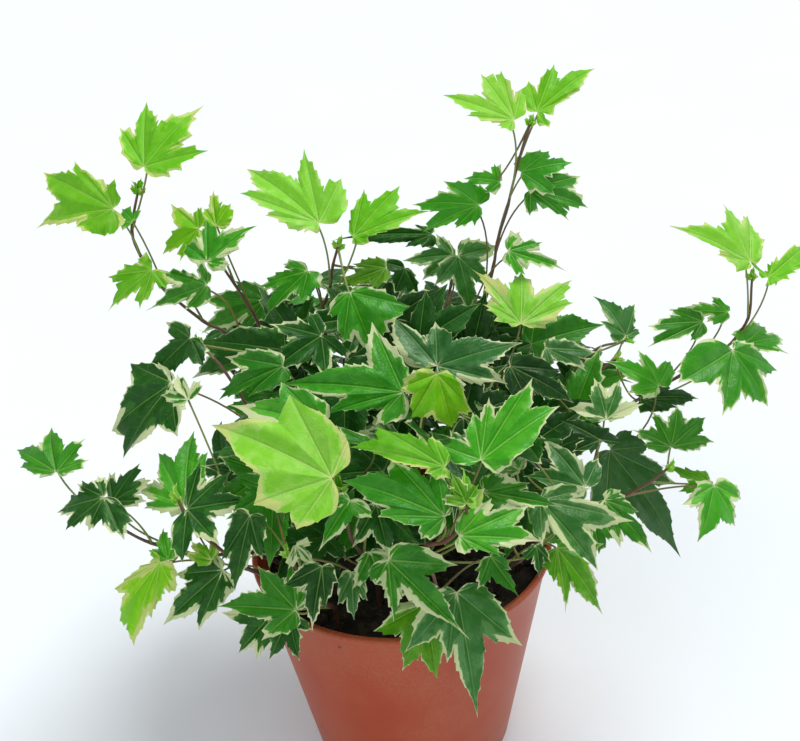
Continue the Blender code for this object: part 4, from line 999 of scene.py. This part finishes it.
def stemFinish():
    woody = Finish("ivyStem")
    age, seed, stalkShare = woody.attribute("stemMap")
    streaks = woody.noise(woodLook["streakScale"], 3.0, 0.6)
    uneven = streaks - 0.5
    old, young, stalk, red, bark = (shade(*woodLook[key]) for key in ("old", "young", "stalk", "red", "bark"))
    color = woody.mix(woody.step(age + uneven * 0.5, 0.25, 0.85), old, young)
    color = woody.mix(stalkShare * 0.9, color, stalk)
    color = woody.mix(woody.step(seed + uneven * 0.6, 0.35, 0.75) * 0.5, color, red)
    color = woody.mix(woody.step(streaks, 0.55, 0.75) * 0.35, color, bark)
    woody.fill(woody.shader, {"Base Color": color, "Roughness": 0.5 + uneven * 0.2,
                              "Normal": woody.bump(streaks, 0.4, 0.0003)})
    return woody.material


leafMaterials = {name: leafFinish(name + "Leaf", values) for name, values in finishes.items()}
stemMaterial = stemFinish()
print("leaf and stem finishes ready")

# Fine blades: lengths in metres, angles in degrees.
fine = {"side": 0.0015, "sideParts": (2, 12), "ring": 0.0017, "rings": (6, 24), "crowding": 1.25,
        "bulge": 0.045, "bulges": (0.5, 1.4), "mainBulge": 1.3, "bow": 0.12, "hold": 0.34, "pinch": 0.045,
        "toothEvery": 0.0036, "toothCount": (0.75, 1.2), "tooth": 0.34, "toothLimit": 0.0011,
        "toothSize": (0.25, 1.15), "toothFade": (1.1, 0.5), "toothShift": 0.14,
        "toothMarks": ((0.45, 0.25), (0.86, 1.0), (1.0, 0.0)), "plainTip": 0.26, "tipMarks": (0.66, 0.33, 0),
        "coarseEvery": 0.3, "coarseNotch": 0.04, "notch": (1.12, 0.06), "notchLimit": 0.56, "fullSpread": 36,
        "base": (112, 0.24), "baseReach": (0.85, 1.1), "baseSmall": 0.30, "baseTurn": 40, "baseHold": 0.65,
        "baseLimit": 176, "cornerLimit": 156, "leastTurn": 0.005}
relief = {"fullLength": 0.036, "most": 1.2, "wave": 0.0011, "waves": 5, "ripples": (13, 0.6), "puff": 0.0010,
          "puffs": (0.7, 1.2), "puffWidth": 0.0034, "settle": 0.4, "crease": (0.01, 0.07), "curl": 0.0012,
          "curls": (-0.5, 1.3), "groove": 0.00030, "grooveWidth": 0.0009, "seatFlat": 0.004}
tones = {"light": (0.88, 1.12), "warm": 0.05, "veins": (0.55, 0.9)}
# How coarsely each stem's leaves are toothed, and what sets a stem apart from the others.
teeth = {"stem_tall_shoot": 2.0, "stem_left_shoot": 2.0, "stem_right_shoot": 1.8, "stem_middle_shoot": 1.6,
         "stem_lime_shoot": 1.5, "stem_left_trail": 1.4, "stem_right_trail": 1.2, "stem_bright_front": 0.45}
habits = {"stem_front_shoot": {"thick": 1.7, "red": 0.95, "buds": 2.0, "budLook": "glow"}}
lineWork = {"seed": 21, "stemSides": 10, "stalkSides": 8, "stalkParts": 12, "stem": (0.00105, 0.00048),
            "taper": 0.7, "knot": 0.22, "knotReach": 0.0022, "wobble": 0.00025, "wobbleRate": 120,
            "wobbleStart": 6, "red": 0.6, "stalk": (0.00052, 0.00036), "stalkTaper": 3.0, "stalkAge": 0.5,
            "under": 0.0007}
bud = {"count": 3, "length": (0.0045, 0.0085), "shrink": 0.25, "turn": 2.4, "spread": (0.25, 0.8),
       "sink": 0.0006, "look": "bright", "cream": (0.1, 0.3), "coarse": 0.5,
       "lobes": ((-48, 0.6), (0.0, 1.0), (48, 0.6)),
       "form": {"arch": 0.05, "droop": -0.6, "fold": 0.5, "cut": 0.3}}


def outward(start, end):  # flat way out of the blade across one of its sides
    way = (end - start).normalized()
    out = Vector((-way.y, way.x))
    return out if out.dot(start + end) > 0 else -out


def bowed(start, end):  # hold of a side that bows outward
    return (start + end) / 2 + outward(start, end) * fine["bow"] * (end - start).length


def plainSide(curve):
    least, most = fine["sideParts"]
    count = max(least, min(most, round((curve[2] - curve[0]).length / fine["side"])))
    return [onCurve(curve, number / count) for number in range(1, count + 1)]


def toothedSide(curve, rng, rising, coarse):  # teeth point to the lobe's tip, which stays plain
    start, _, end = curve
    span = (end - start).length
    toothed = 1 - fine["plainTip"]
    every = fine["toothEvery"] * (1 + fine["coarseEvery"] * (coarse - 1))
    count = round(span * toothed / every * rng.uniform(*fine["toothCount"]))
    if count < 1:
        return plainSide(curve)
    high = min(fine["toothLimit"] * coarse, fine["tooth"] * span / count)
    first, fade = fine["toothFade"]
    places = []
    for number in range(count):
        size = high * rng.uniform(*fine["toothSize"]) * (first - fade * number / count)
        stretch = rng.uniform(-fine["toothShift"], fine["toothShift"]) / count
        for place, push in fine["toothMarks"]:
            t = (number + place) / count + (stretch if place < 1 else 0.0)
            places.append((t * toothed, push * size))
    places += [(1 - fine["plainTip"] * part, 0.0) for part in fine["tipMarks"]]
    if not rising:
        places = [(1 - t, push) for t, push in reversed(places[:-1])] + [(1.0, 0.0)]
    out = outward(start, end)
    edge = []
    for t, push in places:  # the lobe is drawn in near its tip, which makes it pointed
        near = 2 * (t if rising else 1 - t) - 1
        pinch = fine["pinch"] * span * math.sin(math.pi * near) if near > 0 else 0.0
        edge.append(onCurve(curve, t) + out * (push - pinch))
    return edge


def baseCorner(shape, hand, rng):  # where the blade is widest behind its seat, and the hold of the curve there
    angle, reach = shape["lobes"][0 if hand < 0 else -1]
    angle = abs(angle)
    if angle < blade["lobedBeyond"]:
        angle = max(fine["base"][0], angle + fine["baseTurn"])
        reach = fine["base"][1] * shape["length"] * rng.uniform(*fine["baseReach"])
    elif reach > fine["baseSmall"] * shape["length"]:
        angle += blade["cornerTurn"]
        reach *= blade["cornerShare"]
    angle = min(angle, fine["cornerLimit"])
    hold = min(fine["baseLimit"], angle + fine["baseTurn"])
    return flatPoint(hand * angle, reach), flatPoint(hand * hold, fine["baseHold"] * reach)


def fineOutline(shape, rng, coarse):  # edge of a blade from its seat round by the left, back to the seat
    small = fine["baseSmall"] * shape["length"]
    lobes = [lobe for lobe in shape["lobes"] if abs(lobe[0]) < blade["lobedBeyond"] or lobe[1] > small]
    share, more = fine["notch"]
    cut = min(fine["notchLimit"], shape["cut"] * share + more + fine["coarseNotch"] * (coarse - 1))
    seat = Vector((0.0, 0.0))
    tip = flatPoint(*lobes[0])
    corner, hold = baseCorner(shape, -1, rng)
    edge = plainSide((seat, hold, corner))
    edge += toothedSide((corner, bowed(corner, tip), tip), rng, True, coarse)
    for lobe, after in zip(lobes, lobes[1:]):
        notch = flatPoint(*notchBetween(lobe, after, cut, fine["fullSpread"]))
        for begin, finish, (angle, _) in ((tip, notch, lobe), (notch, flatPoint(*after), after)):
            high = begin if finish is notch else finish
            swell = fine["bulge"] * rng.uniform(*fine["bulges"]) * (fine["mainBulge"] if angle == 0.0 else 1.0)
            hold = notch * (1 - fine["hold"]) + high * fine["hold"]
            hold += outward(begin, finish) * 2 * swell * (finish - begin).length
            edge += toothedSide((begin, hold, finish), rng, begin is notch, coarse)
        tip = high
    corner, hold = baseCorner(shape, 1, rng)
    edge += toothedSide((tip, bowed(tip, corner), corner), rng, False, coarse)
    edge += plainSide((corner, hold, seat))
    edge = np.array([tuple(point) for point in edge[:-1]])
    turns = np.arctan2(edge[:, 0], edge[:, 1])
    reaches = np.hypot(edge[:, 0], edge[:, 1])
    for index in range(1, len(turns)):  # every ray from the seat meets the edge once
        turns[index] = max(turns[index], turns[index - 1] + fine["leastTurn"])
    return np.stack([np.sin(turns) * reaches, np.cos(turns) * reaches], 1)


def edgeDistance(places, edge):  # how far each place is from the blade's edge
    start = np.vstack([np.zeros((1, 2)), edge])
    end = np.vstack([edge, np.zeros((1, 2))])
    way = end - start
    arm = places[:, None, :] - start[None]
    share = np.clip((arm * way).sum(2) / np.maximum((way * way).sum(1), 1e-12), 0, 1)
    return np.sqrt(((arm - share[..., None] * way) ** 2).sum(2)).min(1)


def veinPlace(shape, places):  # distance from the nearest main vein, how far along it, and its share
    best = np.full(len(places), 1.0)
    along = np.zeros(len(places))
    share = np.zeros(len(places))
    for angle, reach in shape["lobes"]:
        way = np.array((math.sin(math.radians(angle)), math.cos(math.radians(angle))))
        run = np.maximum(places @ way, 0)
        gap = np.sqrt(((places - run[:, None] * way) ** 2).sum(1))
        nearer = gap < best
        best[nearer] = gap[nearer]
        along[nearer] = run[nearer]
        share[nearer] = np.minimum(run[nearer] / reach, 1)
    return best, along, share


def bladeRelief(shape, places, turn, reach, off, share, rng):  # height over the flat plane: waves, puffs, veins
    phase = rng.uniform(0, 2 * math.pi)
    big = min(relief["most"], shape["length"] / relief["fullLength"])
    wave = relief["wave"] * big * reach ** 3
    puff = relief["puff"] * big * rng.uniform(*relief["puffs"])
    curl = relief["curl"] * big * rng.uniform(*relief["curls"])
    x, y = places[:, 0], places[:, 1]
    ripples, ripple = relief["ripples"]
    away = 1 - np.exp(-(x * x + y * y) / relief["seatFlat"] ** 2)
    puffed = 1 - np.exp(-(off / (relief["puffWidth"] * big)) ** 2)
    groove = relief["groove"] * np.exp(-(off / relief["grooveWidth"]) ** 2)
    high = lift(shape, x, y) + rng.uniform(*relief["crease"]) * np.abs(x)
    high += wave * np.sin(turn * relief["waves"] + phase) + wave * ripple * np.sin(turn * ripples - phase * 2)
    high += puff * (puffed * (1 - reach ** 4) - relief["settle"] * away)
    return high - curl * share ** 4 - groove * (1 - reach) * away


class Growth:  # mesh of one leafy stem with its attributes
    def __init__(self):
        self.verts = []
        self.faces = []
        self.materials = []
        self.slots = []
        self.size = 0
        names = ("veinMap", "polarMap", "traits", "stemMap", "leafGreen", "leafAccent")
        self.maps = {name: [] for name in names}

    def add(self, verts, faces, material, maps):
        if material not in self.materials:
            self.materials.append(material)
        self.faces += [tuple(index + self.size for index in face) for face in faces]
        self.slots += [self.materials.index(material)] * len(faces)
        self.verts.append(verts)
        self.size += len(verts)
        for key, rows in self.maps.items():
            wide = 4 if key.startswith("leaf") else 3
            rows.append(np.broadcast_to(maps.get(key, np.zeros(wide)), (len(verts), wide)))

    def addBlade(self, shape, look, cream, rng, coarse=1.0):
        green, accent, finish = looks[look]
        tone = rng.uniform(*tones["light"])
        warm = rng.uniform(-tones["warm"], tones["warm"])
        colors = [np.array(shade(*color)) * (tone * (1 + warm), tone, tone * (1 - 2 * warm), 1)
                  for color in (green, accent)]
        edge = fineOutline(shape, rng, coarse)
        columns = len(edge)
        least, most = fine["rings"]
        rings = max(least, min(most, round(shape["length"] / fine["ring"])))
        shares = 1 - (1 - np.arange(1, rings + 1) / rings) ** fine["crowding"]
        places = np.vstack([np.zeros((1, 2)), (edge[None] * shares[:, None, None]).reshape(-1, 2)])
        reach = np.concatenate([[0], np.repeat(shares, columns)])
        turn = np.arctan2(places[:, 0], places[:, 1])
        off, along, share = veinPlace(shape, places)
        high = bladeRelief(shape, places, turn, reach, off, share, rng)
        seat, side, forward, normal = (np.array(shape[key]) for key in ("seat", "side", "forward", "normal"))
        verts = seat + places[:, :1] * side + places[:, 1:] * forward + high[:, None] * normal
        faces = [(0, 2 + column, 1 + column) for column in range(columns - 1)]
        faces += [(a, a + 1, a + 1 + columns, a + columns) for ring in range(rings - 1)
                  for a in range(1 + ring * columns, (1 + ring) * columns)]
        seed = rng.random()
        count = len(places)
        self.add(verts, faces, leafMaterials[finish], {
            "veinMap": np.stack([edgeDistance(places, edge), off, along], 1),
            "polarMap": np.stack([turn, reach, np.full(count, seed)], 1),
            "traits": np.stack([np.full(count, cream), share, np.full(count, rng.uniform(*tones["veins"]))], 1),
            "leafGreen": colors[0], "leafAccent": colors[1]})

    def addTube(self, points, radii, sides, ages, seed, stalkShare):
        verts, faces = tube(points, radii, sides)
        rows = np.zeros((len(verts), 3))
        rows[:, 0] = np.repeat(ages, sides)
        rows[:, 1:] = seed, stalkShare
        self.add(np.array([tuple(point) for point in verts]), faces, stemMaterial, {"stemMap": rows})

    def piece(self, name):
        mesh = bpy.data.meshes.new(name)
        mesh.from_pydata(np.vstack(self.verts).tolist(), [], self.faces)
        for key, rows in self.maps.items():
            kind, field = ("FLOAT_COLOR", "color") if key.startswith("leaf") else ("FLOAT_VECTOR", "vector")
            made = mesh.attributes.new(key, kind, "POINT")
            made.data.foreach_set(field, np.vstack(rows).astype(np.float32).ravel())
        for material in self.materials:
            mesh.materials.append(material)
        mesh.polygons.foreach_set("material_index", self.slots)
        mesh.shade_smooth()
        return linked(name, mesh)


def stemTube(growth, plant, habit, rng):
    line = plant["fine"]
    last = len(line) - 1
    knots = [plant["path"][index] for index in sorted({grown["index"] for grown in plant["leaves"]})]
    seed = habit.get("red", rng.random() * lineWork["red"])
    foot, tip = lineWork["stem"]
    points = []
    radii = []
    for index, point in enumerate(line):
        share = index / last
        near = min((point - knot).length for knot in knots)
        radius = foot + (tip - foot) * share ** lineWork["taper"]
        radius *= 1 + (habit.get("thick", 1.0) - 1) * (1 - share)
        radii.append(radius * (1 + lineWork["knot"] * math.exp(-(near / lineWork["knotReach"]) ** 2)))
        shift = noise.noise_vector(point * lineWork["wobbleRate"] + Vector((seed * 50, 0, 0)))
        points.append(point + shift * lineWork["wobble"] * min(1.0, index / lineWork["wobbleStart"]))
    growth.addTube(points, radii, lineWork["stemSides"], [index / last for index in range(last + 1)], seed, 0.0)


def leafStalk(growth, grown, rng):
    start, hold, end = grown["curve"]
    curve = (start, hold, end - grown["shape"]["normal"] * lineWork["under"])
    count = lineWork["stalkParts"]
    shares = [index / count for index in range(count + 1)]
    wide, thin = lineWork["stalk"]
    radii = [wide + (thin - wide) * min(1.0, lineWork["stalkTaper"] * share) for share in shares]
    radii[-1] = stalk["tipRadius"]
    radii[-2] = (radii[-1] + radii[-3]) / 2
    growth.addTube([onCurve(curve, share) for share in shares], radii, lineWork["stalkSides"],
                   [lineWork["stalkAge"]] * (count + 1), rng.random(), 1.0)


def budLeaves(growth, plant, habit, rng):  # young leaves folded up at the stem's growing tip
    end = plant["fine"][-1]
    along = (end - plant["fine"][-3]).normalized()
    start = along.orthogonal().normalized()
    for number in range(bud["count"]):
        around = Matrix.Rotation(bud["turn"] * number + rng.random(), 3, along) @ start
        forward = (along + around * rng.uniform(*bud["spread"])).normalized()
        normal = (along - forward * along.dot(forward)).normalized()
        length = rng.uniform(*bud["length"]) * (1 - bud["shrink"] * number) * habit.get("buds", 1.0)
        lobes = [(angle, reach * length) for angle, reach in bud["lobes"]]
        shape = {"seat": end - along * bud["sink"], "forward": forward, "normal": normal, "length": length,
                 "side": forward.cross(normal), "lobes": lobes}
        shape.update(bud["form"])
        look = habit.get("budLook", bud["look"])
        growth.addBlade(shape, look, rng.uniform(*bud["cream"]), rng, bud["coarse"])


def makePlants():
    rng = random.Random(lineWork["seed"])
    noise.seed_set(lineWork["seed"])
    faces = 0
    for node, plant in plants.items():
        growth = Growth()
        habit = habits.get(node, {})
        stemTube(growth, plant, habit, rng)
        for grown in plant["leaves"]:
            look = grown["look"] or (rng.choice(fillRule["looks"]), rng.uniform(0.0, fillRule["cream"]))
            growth.addBlade(grown["shape"], look[0], look[1], rng, teeth.get(node, 1.0))
            leafStalk(growth, grown, rng)
        budLeaves(growth, plant, habit, rng)
        made = growth.piece("leaves_" + node[5:])
        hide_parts(node)
        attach(made, "root")
        faces += len(growth.faces)
    return faces


print("leafy stems made:", len(plants), "pieces,", makePlants(), "faces")

# Pot and soil: closed bodies turned round the Z axis, colours as on the screen.
potLook = {"sides": 144, "band": 0.0009, "bandDepth": 0.0024, "levels": (0.02, 0.04, 0.06, 0.08),
           "drainSides": 32, "drainSpan": (-0.002, 0.006), "sharp": 50, "clay": (166, 64, 30),
           "pale": (184, 88, 52), "speck": (70, 40, 32), "dust": (150, 112, 88), "broadScale": 22,
           "fineScale": 900, "speckScale": 160.0, "gloss": 0.3}
soilLook = {"seed": 5, "rings": 46, "sides": 150, "gap": 0.0003, "lump": 0.0022, "lumpRate": 90,
            "crumb": 0.0009, "crumbRate": 420, "clods": 260, "clod": (0.0007, 0.0024), "coarseClod": 0.0014,
            "clodRough": 0.28, "sharp": 60, "dark": (20, 15, 12), "brown": (46, 34, 25), "fibre": (84, 66, 46),
            "coarseScale": 160, "grainScale": 1200, "fibreScale": 420.0}


def wallRadius(z):  # outside of the pot's plain wall
    return pot["foot"] + (pot["rim"] - pot["lipWidth"] - pot["foot"]) * z / pot["height"]


def meshObject(name, verts, faces, material):
    mesh = bpy.data.meshes.new(name)
    mesh.from_pydata(verts, [], faces)
    mesh.materials.append(material)
    return linked(name, mesh)


def potFinish():
    clay = Finish("clayPlastic")
    broad = clay.noise(potLook["broadScale"], 3.0, 0.55)
    fine = clay.noise(potLook["fineScale"], 2.0, 0.6)
    height = clay.node("SeparateXYZ", {}, {0: clay.place()}, 2)
    spots = clay.cells(potLook["speckScale"], {})
    speck = clay.step(clay.picked(spots), 0.90, 0.93) * clay.step(0.16 - spots, 0.0, 0.06)
    dusty = clay.step(broad + height * 1.5, 0.50, 0.72) * 0.35
    pale = shade(*potLook["pale"])
    color = clay.mix(clay.step(broad, 0.35, 0.7) * 0.5, shade(*potLook["clay"]), pale)
    color = clay.mix(clay.step(fine, 0.45, 0.8) * 0.25, color, pale)
    color = clay.mix(dusty * clay.step(fine, 0.4, 0.7), color, shade(*potLook["dust"]))
    color = clay.mix(speck * 0.75, color, shade(*potLook["speck"]))
    clay.fill(clay.shader, {"Base Color": color, "Roughness": 0.42 + (broad - 0.5) * 0.2 + (fine - 0.5) * 0.12,
                            "Specular IOR Level": potLook["gloss"],
                            "Normal": clay.bump(fine + broad * 2, 0.12, 0.0002)})
    return clay.material


def potProfile():  # from the middle of the foot up the outside, over the lip and down the inside
    wall, foot, top = pot["wall"], pot["foot"], pot["height"]
    rim = pot["rim"] - pot["lipWidth"] + potLook["band"]
    under = top - potLook["bandDepth"]
    inside = wallRadius(top) - wall
    profile = [(0, 0.0012), (0.020, 0.0012), (0.0205, 0.0), (foot - 0.0025, 0.0), (foot - 0.001, 0.0004),
               (foot - 0.0003, 0.0012), (wallRadius(0.0025), 0.0025)]
    profile += [(wallRadius(z), z) for z in potLook["levels"] + (under - 0.0012,)]
    profile += [(wallRadius(under) + 0.0002, under - 0.0003), (rim - 0.0002, under + 0.0003),
                (rim, under + 0.0008), (rim, top - 0.0008), (rim - 0.0002, top - 0.0003), (rim - 0.0007, top),
                (inside + 0.0004, top), (inside + 0.0001, top - 0.0002), (inside, top - 0.0006)]
    profile += [(wallRadius(z) - wall, z) for z in potLook["levels"][::-1] + (0.006,)]
    return profile + [(wallRadius(wall) - wall - 0.002, wall + 0.001), (0, wall + 0.001)]


def smoothed(made, angle):  # smooth apart from edges sharper than the angle
    made.data.shade_smooth()
    made.data.set_sharp_from_angle(angle=math.radians(angle))
    return made


def makePot():
    made = meshObject("pot_body", *turned(potProfile(), potLook["sides"]), potFinish())
    low, high = potLook["drainSpan"]
    radius = pot["drainRadius"]
    plug, faces = turned([(0, low), (radius, low), (radius, high), (0, high)], potLook["drainSides"])
    cutters = []
    for number in range(pot["drains"]):
        turn = 2 * math.pi * (number + 0.5) / pot["drains"]
        middle = Vector((math.cos(turn), math.sin(turn), 0)) * pot["drainCircle"]
        cutter = meshObject("drain", [middle + Vector(point) for point in plug], faces, made.data.materials[0])
        cutters.append(cutter)
        cut = made.modifiers.new("drain", "BOOLEAN")
        cut.operation = "DIFFERENCE"
        cut.object = cutter
        cut.solver = "EXACT"
    made.data = bpy.data.meshes.new_from_object(made.evaluated_get(bpy.context.evaluated_depsgraph_get()))
    made.modifiers.clear()
    for cutter in cutters:
        bpy.data.objects.remove(cutter)
    return smoothed(made, potLook["sharp"])


def soilFinish():
    earth = Finish("pottingSoil")
    coarse = earth.noise(soilLook["coarseScale"], 4.0, 0.65)
    grains = earth.noise(soilLook["grainScale"], 2.0, 0.6)
    fibres = earth.picked(earth.cells(soilLook["fibreScale"], {}))
    color = earth.mix(earth.step(coarse, 0.38, 0.68), shade(*soilLook["dark"]), shade(*soilLook["brown"]))
    color = earth.mix(earth.step(fibres, 0.86, 0.92) * 0.5, color, shade(*soilLook["fibre"]))
    color = earth.tint(color, 0.6 + grains * 0.8)
    earth.fill(earth.shader, {"Base Color": color, "Roughness": 0.8 + grains * 0.18,
                              "Normal": earth.bump(coarse * 2 + grains, 0.8, 0.0008)})
    return earth.material


def soilHeight(x, y):
    lump = noise.fractal(Vector((x, y, soil["top"])) * soilLook["lumpRate"], 0.8, 2.0, 3) * soilLook["lump"]
    crumb = noise.fractal(Vector((x, y, 0.7)) * soilLook["crumbRate"], 0.7, 2.0, 3) * soilLook["crumb"]
    return soil["top"] + lump + crumb - soil["sag"] * (math.hypot(x, y) / pot["rim"]) ** 4


def addClods(verts, faces, edge):  # rough small lumps that lie on the soil
    rng = random.Random(soilLook["seed"])
    clods = bmesh.new()
    for _ in range(soilLook["clods"]):
        turn = rng.uniform(0, 2 * math.pi)
        radius = (edge - 0.003) * math.sqrt(rng.random())
        x, y = radius * math.cos(turn), radius * math.sin(turn)
        size = rng.uniform(*soilLook["clod"]) * rng.uniform(0.6, 1.0)
        before = len(clods.verts)
        bmesh.ops.create_icosphere(clods, subdivisions=2 if size < soilLook["coarseClod"] else 3, radius=size)
        clods.verts.ensure_lookup_table()
        spin = Matrix.Rotation(rng.uniform(0, 6), 3, "Z") @ Matrix.Rotation(rng.uniform(-0.5, 0.5), 3, "X")
        stretch = Vector((rng.uniform(0.8, 1.7), rng.uniform(0.7, 1.1), rng.uniform(0.5, 0.8)))
        place = Vector((x, y, soilHeight(x, y) + size * 0.15))
        for vert in clods.verts[before:]:
            grain = 1 + soilLook["clodRough"] * noise.noise(vert.co / size * 1.6 + place * 900)
            vert.co = spin @ (vert.co * stretch * grain) + place
    clods.verts.index_update()
    start = len(verts)
    verts += [tuple(vert.co) for vert in clods.verts]
    faces += [[vert.index + start for vert in face.verts] for face in clods.faces]
    clods.free()


def makeSoil():
    inset = pot["wall"] + soilLook["gap"]
    floor = pot["wall"] + 0.0016
    sides = soilLook["sides"]
    edge = wallRadius(soil["top"]) - inset - 0.0004
    verts, faces = turned([(0, floor), (wallRadius(floor) - inset - 0.002, floor),
                           (wallRadius(0.04) - inset, 0.04), (edge, soil["top"] - soil["sag"])], sides)
    ring = list(range(len(verts) - sides, len(verts)))
    for step in range(1, soilLook["rings"] + 1):
        share = 1 - step / soilLook["rings"]
        points = circle(edge * share, 0, sides if share else 1)
        within = [len(verts) + number % len(points) for number in range(sides)]
        verts += [(x, y, soilHeight(x, y)) for x, y, _ in points]
        faces += ringFaces(ring, within)
        ring = within
    addClods(verts, faces, edge)
    return smoothed(meshObject("soil_fill", verts, faces, soilFinish()), soilLook["sharp"])


for build, node, slot in ((makePot, "pot", "pot_plastic"), (makeSoil, "soil", "soil")):
    made = build()
    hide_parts(node)
    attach(made, "root")
print("pot and soil made")

# Studio: a pale floor, a soft key light from the upper right and a wide fill; each sun has a place, a strength,
# an angle and a colour.
studio = {"floor": (238, 244, 250), "floorDim": (232, 239, 246), "size": 6.0, "world": (0.98, 0.99, 1.0),
          "worldStrength": 0.47, "suns": (("key", (0.50, 0.30, 1.0), 2.15, 26, (1.0, 0.99, 0.96)),
                                          ("fill", (-0.45, -0.75, 0.9), 0.70, 50, (0.98, 0.99, 1.0)))}


def makeStudio():
    pale = Finish("paleFloor")
    tone = pale.mix(pale.noise(6, 2.0, 0.5), shade(*studio["floor"]), shade(*studio["floorDim"]))
    pale.fill(pale.shader, {"Base Color": tone, "Roughness": 0.6, "Specular IOR Level": 0.2})
    size = studio["size"]
    floor = meshObject("floor", [(-size, -size, 0), (size, -size, 0), (size, size, 0), (-size, size, 0)],
                       [(0, 1, 2, 3)], pale.material)
    for name, way, strength, spread, color in studio["suns"]:
        lamp = bpy.data.lights.new(name, "SUN")
        lamp.energy = strength
        lamp.angle = math.radians(spread)
        lamp.color = color
        made = linked(name, lamp)
        made.location = way
        made.rotation_euler = Vector(way).to_track_quat("Z", "Y").to_euler()
    world = bpy.data.worlds.new("studio")
    world.use_nodes = True
    sky = world.node_tree.nodes["Background"]
    sky.inputs["Color"].default_value = studio["world"] + (1.0,)
    sky.inputs["Strength"].default_value = studio["worldStrength"]
    bpy.context.scene.world = world
    bpy.context.scene.view_settings.view_transform = "Standard"


makeStudio()
print("studio ready")
